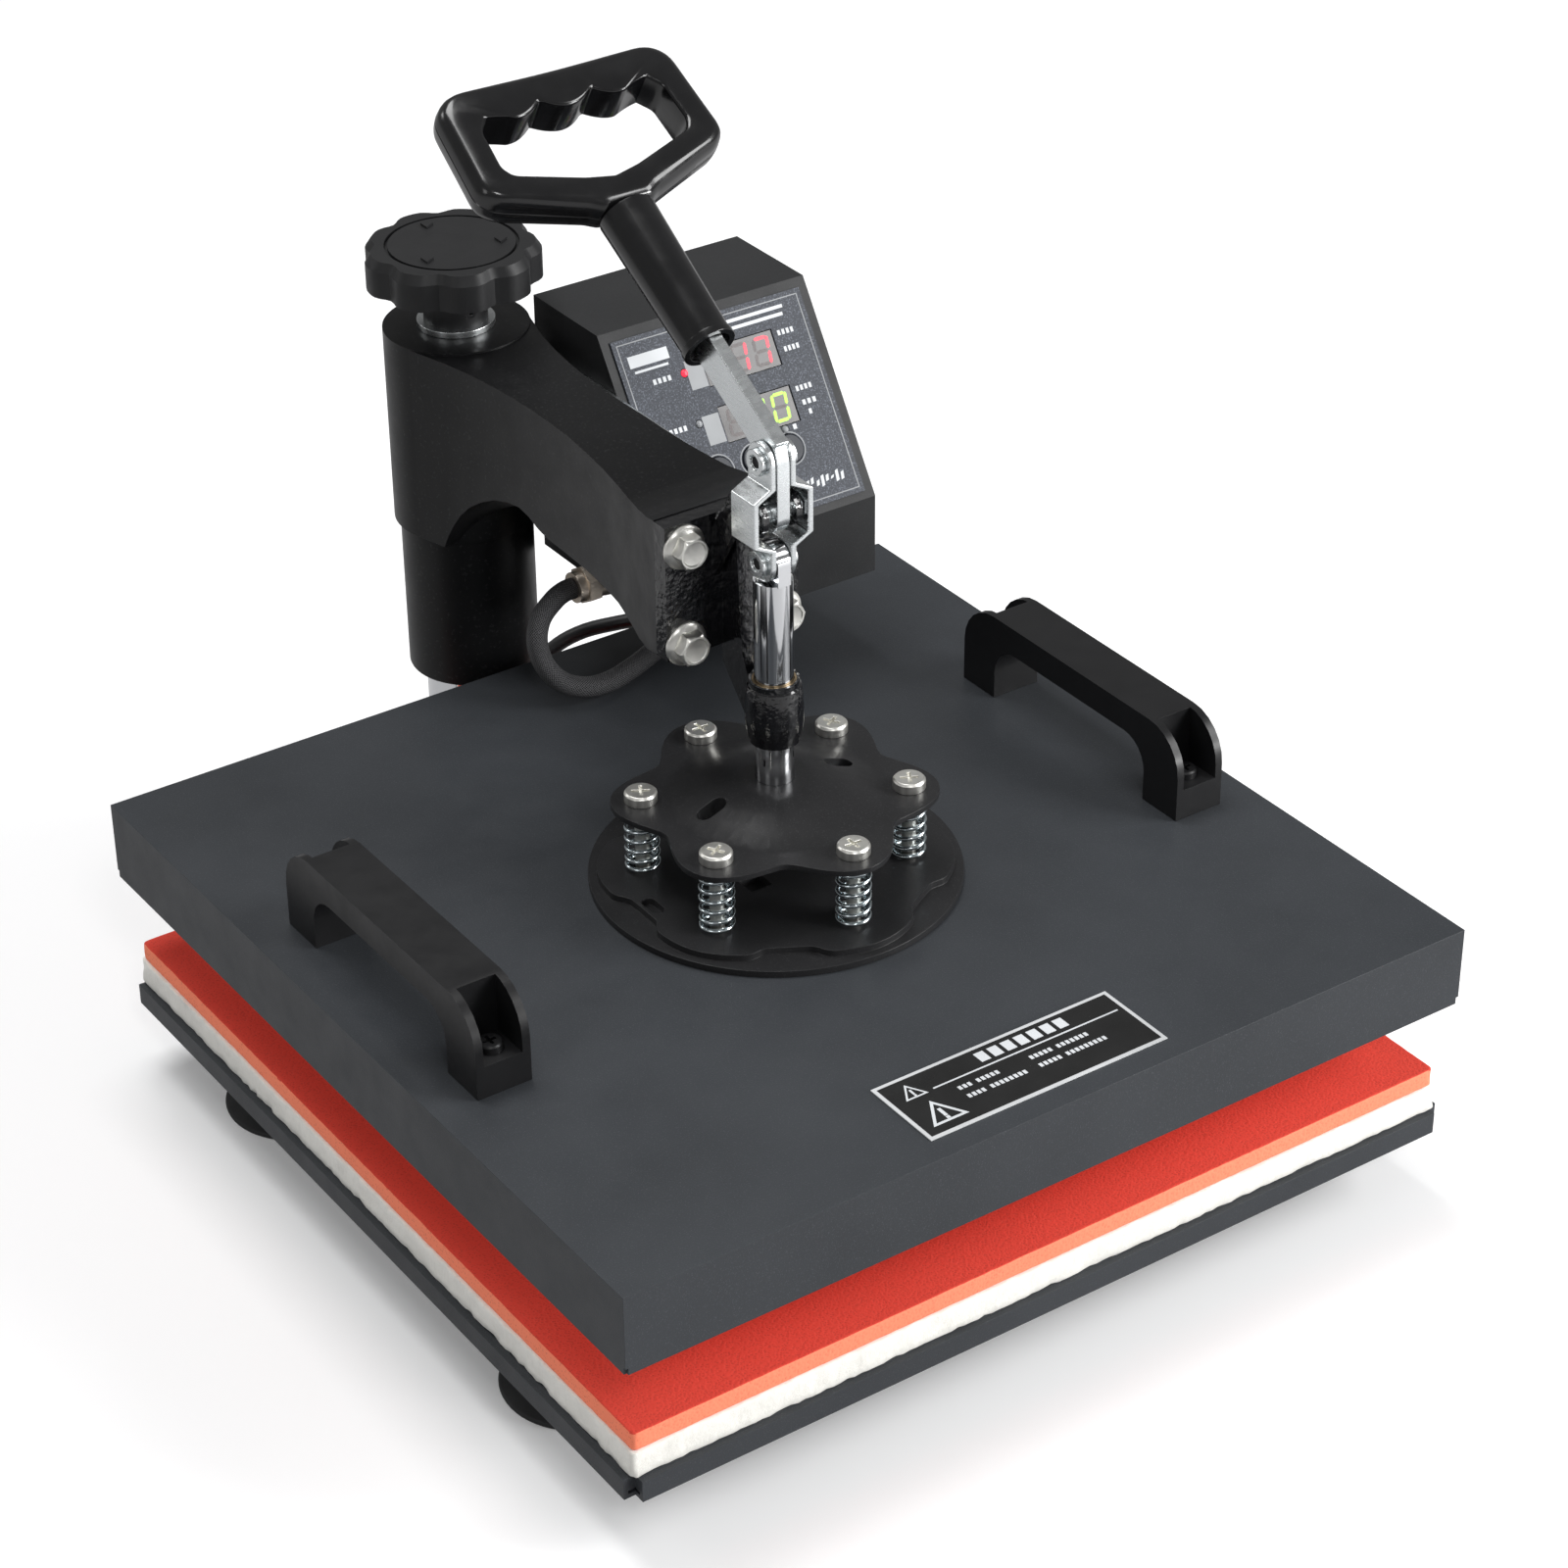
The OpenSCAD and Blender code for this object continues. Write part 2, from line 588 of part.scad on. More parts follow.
// One side of the toggle: a strip bent round the fulcrum's ears
module link_strip(s) {
    t = link_t;
    near = link_near;
    far = link_far;
    low = tang_z - 8;
    high = crank_z + 8;
    b0 = fulcrum_z - 13;
    b1 = fulcrum_z - 8.8;
    b2 = fulcrum_z + 8.8;
    b3 = fulcrum_z + 13;
    intersection() {
        translate([0, head_y - 8, 0]) rotate([90, 0, 0]) mirror([0, 0, 1]) linear_extrude(16)
            polygon([for (p = [
                [near, low], [near, b0], [far, b1], [far, b2], [near, b3], [near, high],
                [near + t, high], [near + t, b3 + 1], [far + t, b2 + 1], [far + t, b1 - 1],
                [near + t, b0 - 1], [near + t, low]
            ]) [s * p[0], p[1]]]);
        union() {
            rod_x(head_y, tang_z, 8, -20, 20);
            rod_x(head_y, crank_z, 8, -20, 20);
            translate([-20, head_y - 8, tang_z]) cube([40, 16, link_l]);
        }
    }
}

module toggle_links() color(zinc) at_platen() difference() {
    for (s = [-1, 1]) link_strip(s);
    rod_x(head_y, crank_z, 4, -9, 9);
}

module link_pins() color(zinc) at_platen() {
    out = link_near + link_t;
    rod_x(head_y, crank_z, 4, -out, out);
    for (s = [-1, 1], z = [crank_z, tang_z]) difference() {
        rod_x(head_y, z, 5.6, s > 0 ? out : -out - 2.4, s > 0 ? out + 2.4 : -out);
        rod_x(head_y, z, 3, s > 0 ? out + 1 : -out - 3, s > 0 ? out + 3 : -out - 1);
    }
}

// ---- Plunger ----

module plunger_shaft() color(chrome) at_head() difference() {
    union() {
        translate([0, 0, dome_z - 3]) cylinder(r = shaft_r, h = tang_z - 8.5 - dome_z + 3);
        translate([-3, -8, tang_z - 9]) cube([6, 16, 9]);
        translate([-3, 0, tang_z]) rotate([0, 90, 0]) cylinder(r = 8, h = 6);
        translate([0, 0, 30]) cylinder(r = 11, h = dome_z - 30, $fn = 6);
    }
    translate([-5, 0, tang_z]) rotate([0, 90, 0]) cylinder(r = 4.2, h = 10);
}

// Radius of the scalloped plates at an angle, greatest beside each bolt
function lobe(a, low, high) = low + (high - low) * pow((1 - cos(float_n * a)) / 2, 0.8);
function lobed(low, high) = [for (a = [0:3:357]) lobe(a, low, high) * [cos(a), sin(a)]];

module float_places() for (i = [0:float_n - 1]) rotate(30 + 60 * i) translate([float_r, 0, 0]) children();

module dome_plate() color([0.1, 0.1, 0.1]) at_head() difference() {
    union() {
        translate([0, 0, dome_z - 1]) linear_extrude(2.5) polygon(lobed(53, 67));
        translate([0, 0, dome_z]) rotate_extrude($fn = 96) polygon([
            [0, 0], [46, 0], [46, 1.5], [42, 1.9], [34, 4.4], [26, 7.4], [18, 9.3], [13, 10], [0, 10]
        ]);
    }
    translate([0, 0, dome_z - 10]) cylinder(r = shaft_r, h = 40);
    translate([0, 0, dome_z - 10]) cylinder(r = 11, h = 10, $fn = 6);
    float_places() translate([0, 0, dome_z - 5]) cylinder(r = 3.6, h = 12);
    for (a = [0, 180]) rotate(a) translate([31, 0, dome_z - 5]) {
        for (x = [-2.8, 2.8]) translate([x, 0, 0]) cylinder(r = 3.7, h = 20);
        translate([-2.8, -3.7, 0]) cube([5.6, 7.4, 20]);
    }
}

// ---- Platen head ----

module pressure_plates() color([0.1, 0.1, 0.1]) at_head() difference() {
    union() {
        cylinder(r = 77, h = 3, $fn = 96);
        translate([0, 0, 3]) linear_extrude(star_top - 3) polygon(star_outline);
    }
    for (a = [0, 180]) rotate(a) translate([60, 0, 2.9]) {
        for (y = [-3.2, 3.2]) translate([0, y, 0]) cylinder(r = 2.9, h = 9);
        translate([-2.9, -3.2, 0]) cube([5.8, 6.4, 9]);
    }
    translate([-22, -14.5, 2.9]) cube([10, 9, 9]);
    float_places() translate([0, 0, -1]) cylinder(r = 3, h = 12);
}

// A disc with a flat-bottomed notch between each pair of bolts
star_outline = [for (a = [0:2:358]) let (
    m = abs(((a + 30) % 60) - 30),
    r = 71 + 2.5 * cos(float_n * a + 180) - (m < 9 ? 4 : m < 13 ? 4 * (13 - m) / 4 : 0)
) r * [cos(a), sin(a)]];

module float_bolts() color(zinc) at_head() float_places() {
    cylinder(r = 3, h = dome_z + 2);
    translate([0, 0, dome_z + 1.55]) cross_head(6.8, 4.6);
}

spring_z0 = star_top + 0.1;
spring_z1 = dome_z - 1.1;
spring_turns = 7;
wire_r = 1;
spring_r = 7.7 - wire_r;

// Rises slowly in the end coils and evenly between them
function spring_rise(t) = let (n = spring_turns, low = spring_z0 + wire_r, high = spring_z1 - wire_r)
    low + (high - low) * (t < 1 / n ? 0.06 * pow(t * n, 2)
        : t > 1 - 1 / n ? 1 - 0.06 * pow((1 - t) * n, 2)
        : 0.06 + 0.88 * (t - 1 / n) / (1 - 2 / n));

module float_springs() color(zinc) at_head() float_places() {
    steps = spring_turns * 11;
    sweep([for (i = [0:steps]) let (a = 360 * spring_turns * i / steps)
        [spring_r * cos(a), spring_r * sin(a), spring_rise(i / steps)]], wire_r, 5);
}

module platen_cover() color(grey_paint) at_platen() difference() {
    square_at(cover_w, -cover_h, cover_h);
    square_at(cover_w - 3, -cover_h - 1, cover_h - 0.5);
    for (a = [0:90:270]) rotate(a) translate([-cover_w / 2 - 1, -cover_w / 2 - 1, -cover_h - 1]) cube([2.2, 2.2, 4]);
}

module hose_inlet() color(black) at_platen() translate([74, 166, 0.05]) cube([24, 18, 13]);

module insulation_board() color([0.85, 0.8, 0.6]) at_platen() square_at(cover_w - 6, -20.5, 17);

module heating_plate() color([0.75, 0.75, 0.76]) at_platen() {
    translate([-187, -196, -cover_h - 3.5]) cube([374, 392, 12]);
    for (y = [-150:60:150]) translate([-150, y - 4, -cover_h + 8.5 - e]) cube([300, 8, 5]);
    for (i = [0:4]) translate([i % 2 == 0 ? 142 : -150, -150 + i * 60, -cover_h + 8.5 - e]) cube([8, 60, 5]);
}

handle_l = 147;
handle_w = 24;
handle_h = 40;

handle_side = concat(
    [[-handle_l / 2, 0]],
    arc(-handle_l / 2 + 20, handle_h - 20, 20, 180, 90, 6),
    arc(handle_l / 2 - 20, handle_h - 20, 20, 90, 0, 6),
    [[handle_l / 2, 0], [handle_l / 2 - 22, 0]],
    arc(handle_l / 2 - 36, handle_h - 27, 14, 0, 90, 6),
    arc(-handle_l / 2 + 36, handle_h - 27, 14, 90, 180, 6),
    [[-handle_l / 2 + 22, 0]]
);

module side_handles() for (s = [-1, 1]) at_platen() translate([s * 169.5, 3, 0.1]) {
    color(black) difference() {
        side_cut(handle_side, -handle_w / 2, handle_w / 2);
        for (k = [0, 180]) rotate(k) {
            translate([-8.5, handle_l / 2 - 18, 14]) cube([17, 30, 40]);
            translate([0, handle_l / 2 - 10, -1]) cylinder(r = 2.9, h = 20);
        }
    }
    color(zinc) for (k = [0, 180]) rotate(k) translate([0, handle_l / 2 - 10, 0]) {
        cylinder(r = 2.9, h = 14);
        translate([0, 0, 14]) cross_head(5.2, 3.4);
    }
}

module label_plate() color([0.7, 0.7, 0.7]) at_platen() box_at(-1, -170, 0.05, 113, 38.5, 0.5);

spine_plate();
front_crossbar();
rear_crossbar();
rubber_feet();
foot_screws();
post_flange();
post();
post_nut();
post_bolts();
lower_tray();
filler_board();
felt_pad();
silicone_pad();
tray_bolts();
lift_sleeve();
thrust_washer();
knob();
spindle();
knob_set_screw();
arm_casting();
column_tube();
column_bushes();
head_bracket();
bracket_bolts();
guide_bush();
fulcrum_pin();
box_bracket();
box_shell();
box_back();
control_panel();
displays();
circuit_board();
transformer();
cable_gland();
heater_hose();
rocker_switch();
button_1();
button_2();
button_3();
button_4();
strain_relief();
mains_lead();
lead_coil();
mains_plug();
lever_bar();
grip_tube();
loop_handle();
toggle_links();
link_pins();
plunger_shaft();
dome_plate();
pressure_plates();
float_bolts();
float_springs();
platen_cover();
insulation_board();
heating_plate();
side_handles();
label_plate();
hose_inlet();
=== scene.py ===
import math

import bmesh
import bpy
from mathutils import Matrix, Vector, noise


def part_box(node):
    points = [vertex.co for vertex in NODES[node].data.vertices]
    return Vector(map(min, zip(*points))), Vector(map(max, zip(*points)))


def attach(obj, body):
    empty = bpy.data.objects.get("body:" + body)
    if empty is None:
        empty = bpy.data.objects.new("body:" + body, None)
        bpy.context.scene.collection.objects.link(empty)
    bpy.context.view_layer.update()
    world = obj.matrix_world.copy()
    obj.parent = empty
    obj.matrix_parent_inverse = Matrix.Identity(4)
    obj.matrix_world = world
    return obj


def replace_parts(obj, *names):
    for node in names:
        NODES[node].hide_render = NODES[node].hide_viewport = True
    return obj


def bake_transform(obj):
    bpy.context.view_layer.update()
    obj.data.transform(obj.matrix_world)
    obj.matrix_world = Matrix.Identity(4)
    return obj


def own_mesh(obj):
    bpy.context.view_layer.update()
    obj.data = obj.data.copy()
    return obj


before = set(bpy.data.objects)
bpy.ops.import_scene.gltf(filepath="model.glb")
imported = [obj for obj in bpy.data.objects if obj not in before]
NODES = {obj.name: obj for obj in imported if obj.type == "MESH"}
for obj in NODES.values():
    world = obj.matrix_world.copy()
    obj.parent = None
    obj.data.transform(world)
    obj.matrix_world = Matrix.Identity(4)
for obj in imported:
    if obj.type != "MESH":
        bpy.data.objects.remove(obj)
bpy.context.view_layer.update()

# The heat press's looks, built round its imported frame. Sizes are millimetres in the platen's own
# frame, as in part.scad (origin at the middle of the upper cover's top face), and metres in
# Blender. Materials' noise is per metre and their bumps are millimetres deep.
MM = 0.001
disc_low, disc_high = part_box("pressure_plates")
cover_low, cover_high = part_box("platen_cover")
COVER_TOP = cover_high.z / MM
PLATEN_Y = (cover_low.y + cover_high.y) / 2 / MM
HEAD_Y = (disc_low.y + disc_high.y) / 2 / MM - PLATEN_Y
FLOOR_Z = -COVER_TOP
FLOAT_R = 54.5  # the circle that the float bolts and their springs stand on
HANDLE_FOOT = 4.05  # thickness of the side handles' feet
WHITE = (1, 1, 1, 1)


def at(x, y, z):
    """A point of the platen's frame, in metres of the row frame."""
    return Vector((x, PLATEN_Y + y, COVER_TOP + z)) * MM


def turned_at(origin, angle, axis):
    return Matrix.Translation(origin) @ Matrix.Rotation(angle, 4, axis) @ Matrix.Scale(MM, 4)


def frame_at(origin, tilt=0.0):
    """The matrix that puts millimetres at a point, tilted about X by so many degrees."""
    return turned_at(origin, math.radians(tilt), "X")


# ---- Camera, lights, floor ----

LENS_MM, SENSOR_MM = 90.15, 36
CAMERA_AT = (-0.76029, -1.15715, 1.00867)
CAMERA_RIGHT = Vector((0.82194, -0.56953, -0.00776))
CAMERA_FORWARD = Vector((0.48069, 0.70090, -0.52695))
BACKDROP_LIGHT, BACKDROP_SEEN = 0.22, 1.0  # the world's strength as light, and as seen
FLOOR_HALF = 6
FLOOR_LIGHT, FLOOR_SEEN = (0.36, 0.36, 0.365, 1), (0.93, 0.93, 0.935, 1)
FLOOR_GLOW = 0.13


def make_camera():
    data = bpy.data.cameras.new("camera")
    camera = bpy.data.objects.new("camera", data)
    bpy.context.scene.collection.objects.link(camera)
    data.sensor_width = SENSOR_MM
    data.lens = LENS_MM
    up = CAMERA_RIGHT.cross(CAMERA_FORWARD)
    rotation = Matrix((CAMERA_RIGHT, up, -CAMERA_FORWARD)).transposed().to_4x4()
    camera.matrix_world = Matrix.Translation(CAMERA_AT) @ rotation
    data.clip_start, data.clip_end = 0.05, 50
    bpy.context.scene.camera = camera


def area_light(name, place, target, size, power, colour=(1, 1, 1)):
    data = bpy.data.lights.new(name, "AREA")
    data.shape = "RECTANGLE"
    data.size, data.size_y = size
    data.energy = power
    data.color = colour
    lamp = bpy.data.objects.new(name, data)
    bpy.context.scene.collection.objects.link(lamp)
    lamp.location = place
    lamp.rotation_mode = "QUATERNION"
    lamp.rotation_quaternion = (Vector(target) - Vector(place)).to_track_quat("-Z", "Y")


def camera_mix(tree, kind, other_rays, camera_rays):
    """One value for what the camera sees directly and another for every other ray."""
    path = tree.nodes.new("ShaderNodeLightPath")
    mix = tree.nodes.new("ShaderNodeMix")
    mix.data_type = kind
    mix.inputs["A"].default_value = other_rays
    mix.inputs["B"].default_value = camera_rays
    tree.links.new(path.outputs["Is Camera Ray"], mix.inputs["Factor"])
    return mix.outputs["Result"]


def make_world():
    world = bpy.data.worlds.new("studio")
    bpy.context.scene.world = world
    world.use_nodes = True
    tree = world.node_tree
    background = tree.nodes["Background"]
    strength = camera_mix(tree, "FLOAT", BACKDROP_LIGHT, BACKDROP_SEEN)
    tree.links.new(strength, background.inputs["Strength"])
    background.inputs["Color"].default_value = WHITE


def set_view():
    """White stays white: the background of a product picture."""
    bpy.context.scene.view_settings.view_transform = "Standard"


def make_floor():
    mesh = bpy.data.meshes.new("floor")
    s = FLOOR_HALF
    mesh.from_pydata([(-s, -s, 0), (s, -s, 0), (s, s, 0), (-s, s, 0)], [], [(0, 1, 2, 3)])
    floor = bpy.data.objects.new("floor", mesh)
    bpy.context.scene.collection.objects.link(floor)
    pale = bpy.data.materials.new("floor_pale")
    pale.use_nodes = True
    tree = pale.node_tree
    shader = tree.nodes["Principled BSDF"]
    colour = camera_mix(tree, "RGBA", FLOOR_LIGHT, FLOOR_SEEN)
    tree.links.new(colour, shader.inputs["Base Color"])
    shader.inputs["Roughness"].default_value = 0.7
    shader.inputs["Emission Color"].default_value = WHITE
    shader.inputs["Emission Strength"].default_value = FLOOR_GLOW
    mesh.materials.append(pale)


# ---- Materials ----

class Look:
    """A procedural material: one Principled shader with helpers that add noise to its sockets."""

    def __init__(self, name, colour, roughness, metallic=0.0, specular=None):
        self.material = bpy.data.materials.new(name)
        self.material.use_nodes = True
        self.tree = self.material.node_tree
        self.shader = self.tree.nodes["Principled BSDF"]
        self.place = self.tree.nodes.new("ShaderNodeTexCoord")
        self.colour = colour
        self.roughness = roughness
        self.shader.inputs["Base Color"].default_value = (*colour, 1)
        self.shader.inputs["Roughness"].default_value = roughness
        self.shader.inputs["Metallic"].default_value = metallic
        if specular is not None:
            self.shader.inputs["Specular IOR Level"].default_value = specular
        self.normal = None
        self.colour_out = None

    def node(self, kind, **values):
        made = self.tree.nodes.new(kind)
        for key, value in values.items():
            setattr(made, key, value)
        return made

    def noise(self, per_metre, detail=3.0, rough=0.55, stretch=None):
        source = self.place.outputs["Object"]
        if stretch:
            mapping = self.node("ShaderNodeMapping")
            mapping.inputs["Scale"].default_value = stretch
            self.tree.links.new(source, mapping.inputs["Vector"])
            source = mapping.outputs["Vector"]
        made = self.node("ShaderNodeTexNoise")
        made.inputs["Scale"].default_value = per_metre
        made.inputs["Detail"].default_value = detail
        made.inputs["Roughness"].default_value = rough
        self.tree.links.new(source, made.inputs["Vector"])
        return made.outputs["Fac"]

    def ramp(self, factor, low, high, to_min=0.0, to_max=1.0):
        made = self.node("ShaderNodeMapRange")
        made.inputs["From Min"].default_value = low
        made.inputs["From Max"].default_value = high
        made.inputs["To Min"].default_value = to_min
        made.inputs["To Max"].default_value = to_max
        self.tree.links.new(factor, made.inputs["Value"])
        return made.outputs["Result"]

    def tint(self, factor, colour, low=0.4, high=0.6, strength=1.0):
        """Mixes another colour in where factor is above low."""
        made = self.node("ShaderNodeMix", data_type="RGBA")
        share = self.ramp(factor, low, high, 0.0, strength)
        self.tree.links.new(share, made.inputs["Factor"])
        if self.colour_out is None:
            made.inputs["A"].default_value = (*self.colour, 1)
        else:
            self.tree.links.new(self.colour_out, made.inputs["A"])
        made.inputs["B"].default_value = (*colour, 1)
        self.colour_out = made.outputs["Result"]
        self.tree.links.new(self.colour_out, self.shader.inputs["Base Color"])
        return self

    def shade(self, factor, amount, low=0.3, high=0.7):
        """Varies lightness by so much either way."""
        darker = [c * (1 - amount) for c in self.colour]
        lighter = [min(1, c * (1 + amount) + 0.004 * amount) for c in self.colour]
        self.tint(factor, darker, high, low)
        return self.tint(factor, lighter, low, high, 0.6)

    def gloss(self, factor, spread, low=0.3, high=0.7):
        out = self.ramp(factor, low, high, self.roughness - spread, self.roughness + spread)
        self.tree.links.new(out, self.shader.inputs["Roughness"])
        return self

    def bump(self, factor, depth_mm, strength=1.0):
        made = self.node("ShaderNodeBump")
        made.inputs["Strength"].default_value = strength
        made.inputs["Distance"].default_value = depth_mm * MM
        self.tree.links.new(factor, made.inputs["Height"])
        if self.normal is not None:
            self.tree.links.new(self.normal, made.inputs["Normal"])
        self.normal = made.outputs["Normal"]
        self.tree.links.new(self.normal, self.shader.inputs["Normal"])
        return self


def powder_coat(name, colour, roughness, grain, depth, mottle=0.12):
    """A fine-grained matt paint with paler specks."""
    look = Look(name, colour, roughness, specular=0.24)
    look.shade(look.noise(14, 3.0), mottle).gloss(look.noise(60, 4.0), 0.05)
    specks = [min(1, c * 1.9 + 0.02) for c in colour]
    look.tint(look.noise(grain * 1.7, 1.0), specks, 0.62, 0.72, 0.5)
    look.bump(look.noise(grain, 2.0), depth, 0.55)
    return look.material


def plated(name, colour, roughness):
    """Bright metal, a little uneven in colour and gloss."""
    look = Look(name, colour, roughness, 1.0)
    look.shade(look.noise(45, 2.0), 0.04).gloss(look.noise(150, 2.0, stretch=(1, 1, 6)), 0.03)
    look.tint(look.noise(24, 2.0), [c * 0.86 for c in colour], 0.5, 0.75, 0.4)
    return look.material


def chrome_plate(name):
    look = Look(name, (0.82, 0.83, 0.85), 0.07, 1.0)
    look.gloss(look.noise(90, 4.0, stretch=(1, 1, 0.15)), 0.03)
    look.shade(look.noise(30, 2.0), 0.05)
    return look.material


def enamel(name, colour, wrinkle=330, depth=0.5):
    """A thick glossy paint that has dried in wrinkles."""
    look = Look(name, colour, 0.13, specular=0.85)
    look.bump(look.noise(wrinkle, 2.0, 0.4), depth, 0.75)
    look.bump(look.noise(wrinkle * 2.3, 1.0), depth * 0.35, 0.5)
    look.shade(look.noise(40, 2.0), 0.2)
    return look.material


def moulded(name, colour, roughness=0.42, grain=650, depth=0.03, coat=0.0, specular=0.35):
    """Smooth plastic, film or cast metal with a fine grain and an optional clear coat."""
    look = Look(name, colour, roughness, specular=specular)
    look.shader.inputs["Coat Weight"].default_value = coat
    look.shader.inputs["Coat Roughness"].default_value = 0.12
    look.shade(look.noise(25, 3.0), 0.12).gloss(look.noise(80, 4.0), 0.06)
    look.bump(look.noise(grain, 2.0), depth, 0.45)
    return look.material


def rubber(name, colour=(0.016, 0.016, 0.017), roughness=0.62):
    look = Look(name, colour, roughness)
    look.shade(look.noise(30, 3.0), 0.25).gloss(look.noise(120, 3.0), 0.08)
    look.tint(look.noise(60, 4.0), (0.06, 0.06, 0.06), 0.62, 0.8, 0.5)
    look.bump(look.noise(500, 2.0), 0.04, 0.5)
    return look.material


def sponge(name, colour, pore):
    """Closed-cell foam: a skin of small open pores, darker in the pores as painted shade, and an
    emission of its own colour that paints light into the foam where it lies in shade.
    """
    look = Look(name, colour, 0.85)
    # Painted light: the foam glows a little in its own colour, which real silicone doesn't do.
    look.shader.inputs["Emission Color"].default_value = (*colour, 1)
    look.shader.inputs["Emission Strength"].default_value = 0.1
    cells = look.node("ShaderNodeTexVoronoi")
    cells.inputs["Scale"].default_value = pore
    look.tree.links.new(look.place.outputs["Object"], cells.inputs["Vector"])
    look.shade(look.noise(9, 3.0), 0.05)
    # Painted shade: darker in the pores' hollows.
    look.tint(cells.outputs["Distance"], [c * 0.6 for c in colour], 0.4, 0.06, 0.8)
    look.bump(cells.outputs["Distance"], 0.25, 0.6)
    look.bump(look.noise(260, 4.0), 0.18, 0.5)
    return look.material


def felt(name, colour):
    """Needled felt: matted fibres."""
    look = Look(name, colour, 0.95)
    look.shader.inputs["Sheen Weight"].default_value = 0.35
    look.shade(look.noise(90, 6.0, 0.7), 0.07)
    look.tint(look.noise(420, 5.0, 0.7, (1, 1, 0.3)), (0.74, 0.72, 0.66), 0.5, 0.75, 0.55)
    look.bump(look.noise(380, 6.0, 0.75), 0.5, 0.8)
    return look.material


def braided(name):
    """A woven black sleeve: two sets of strands crossing at the angle the UV map carries, lighter
    along the strands' crests as a painted sheen.
    """
    look = Look(name, (0.012, 0.012, 0.013), 0.5)
    uv = look.place.outputs["UV"]
    heights = []
    for slope in (1, -1):
        turn = look.node("ShaderNodeMapping")
        turn.inputs["Rotation"].default_value = (0, 0, math.radians(45 * slope))
        look.tree.links.new(uv, turn.inputs["Vector"])
        wave = look.node("ShaderNodeTexWave", wave_type="BANDS")
        wave.inputs["Scale"].default_value = 0.62
        look.tree.links.new(turn.outputs["Vector"], wave.inputs["Vector"])
        heights.append(wave.outputs["Fac"])
    top = look.node("ShaderNodeMath", operation="MAXIMUM")
    for i, height in enumerate(heights):
        look.tree.links.new(height, top.inputs[i])
    # Painted sheen: lighter where the strands stand highest.
    look.tint(top.outputs["Value"], (0.10, 0.10, 0.105), 0.72, 1.0)
    look.bump(top.outputs["Value"], 0.5, 1.0)
    return look.material


def fine_wood(name, colour):
    look = Look(name, colour, 0.8)
    look.shade(look.noise(120, 6.0, 0.7), 0.3)
    look.bump(look.noise(500, 4.0), 0.1, 0.5)
    return look.material


def speckled_film(name):
    """The printed polyester film on the sloping panel."""
    look = Look(name, (0.034, 0.039, 0.050), 0.42, specular=0.25)
    look.tint(look.noise(1500, 2.0, 0.6), (0.15, 0.165, 0.2), 0.52, 0.66, 0.75)
    look.tint(look.noise(1100, 2.0, 0.6), (0.008, 0.009, 0.012), 0.56, 0.7, 0.6)
    look.bump(look.noise(1500, 1.0), 0.02, 0.4)
    return look.material


def glowing(name, colour, strength):
    look = Look(name, [c * 0.3 for c in colour], 0.3)
    look.shader.inputs["Emission Color"].default_value = (*colour, 1)
    look.shader.inputs["Emission Strength"].default_value = strength
    look.shade(look.noise(900, 2.0), 0.2)
    return look.material


def copper_and_steel(name):
    look = Look(name, (0.3, 0.27, 0.24), 0.5, 0.6)
    layers = look.noise(300, 2.0, stretch=(0.1, 0.1, 4))
    look.tint(layers, (0.09, 0.085, 0.08), 0.45, 0.6)
    look.bump(layers, 0.15, 0.7)
    return look.material


GREY_PAINT = powder_coat("grey_powder_coat", (0.037, 0.0405, 0.0455), 0.4, 1100, 0.07)
BLACK_CAST = powder_coat("black_satin_coat", (0.0052, 0.0053, 0.0058), 0.36, 420, 0.035, 0.08)
BASE_PAINT = powder_coat("base_black_coat", (0.010, 0.010, 0.011), 0.42, 700, 0.06)
BOX_PAINT = powder_coat("box_black_coat", (0.022, 0.0225, 0.0235), 0.46, 1500, 0.07)
PLATE_BLACK = powder_coat("plate_black_paint", (0.019, 0.019, 0.020), 0.34, 900, 0.04)
WRINKLE = enamel("wrinkle_enamel", (0.004, 0.004, 0.005))
ZINC = plated("zinc_plating", (0.80, 0.83, 0.84), 0.27)
BOLT_ZINC = plated("passivated_bolts", (0.90, 0.89, 0.84), 0.36)
SPRING_ZINC = plated("spring_zinc", (0.66, 0.73, 0.76), 0.2)
NICKEL = plated("nickel_plating", (0.95, 0.83, 0.70), 0.36)
CAST_ALUMINIUM = moulded("cast_aluminium", (0.86, 0.86, 0.85), 0.45, 700, 0.05)
BRONZE = plated("oiled_bronze", (0.22, 0.16, 0.09), 0.35)
CHROME = chrome_plate("hard_chrome")
GLOSS_BLACK = moulded("gloss_black_plastic", (0.0045, 0.0045, 0.005), 0.2, 400, 0.006, 0.3, 0.5)
HANDLE_BLACK = moulded("satin_black_plastic", (0.0085, 0.0085, 0.0092), 0.36, 900, 0.03)
KNOB_BLACK = moulded("matte_black_plastic", (0.0105, 0.0107, 0.0115), 0.46, 700, 0.05)
BUTTON = moulded("button_film", (0.022, 0.025, 0.032), 0.4, 1200, 0.02)
SMOKED = moulded("smoked_window", (0.018, 0.014, 0.014), 0.12, 300, 0.004, 0.3)
PRINT = moulded("white_print", (0.62, 0.64, 0.66), 0.4, 900, 0.01)
LABEL_SILVER = moulded("label_silver", (0.55, 0.56, 0.57), 0.35, 900, 0.01)
PRINT_GREY = moulded("grey_print", (0.30, 0.31, 0.32), 0.45, 900, 0.01)
LABEL_BLACK = moulded("label_black", (0.012, 0.012, 0.012), 0.32, 900, 0.01)
NYLON = moulded("natural_nylon", (0.72, 0.7, 0.62), 0.45)
CIRCUIT = moulded("solder_mask", (0.02, 0.12, 0.05), 0.3)
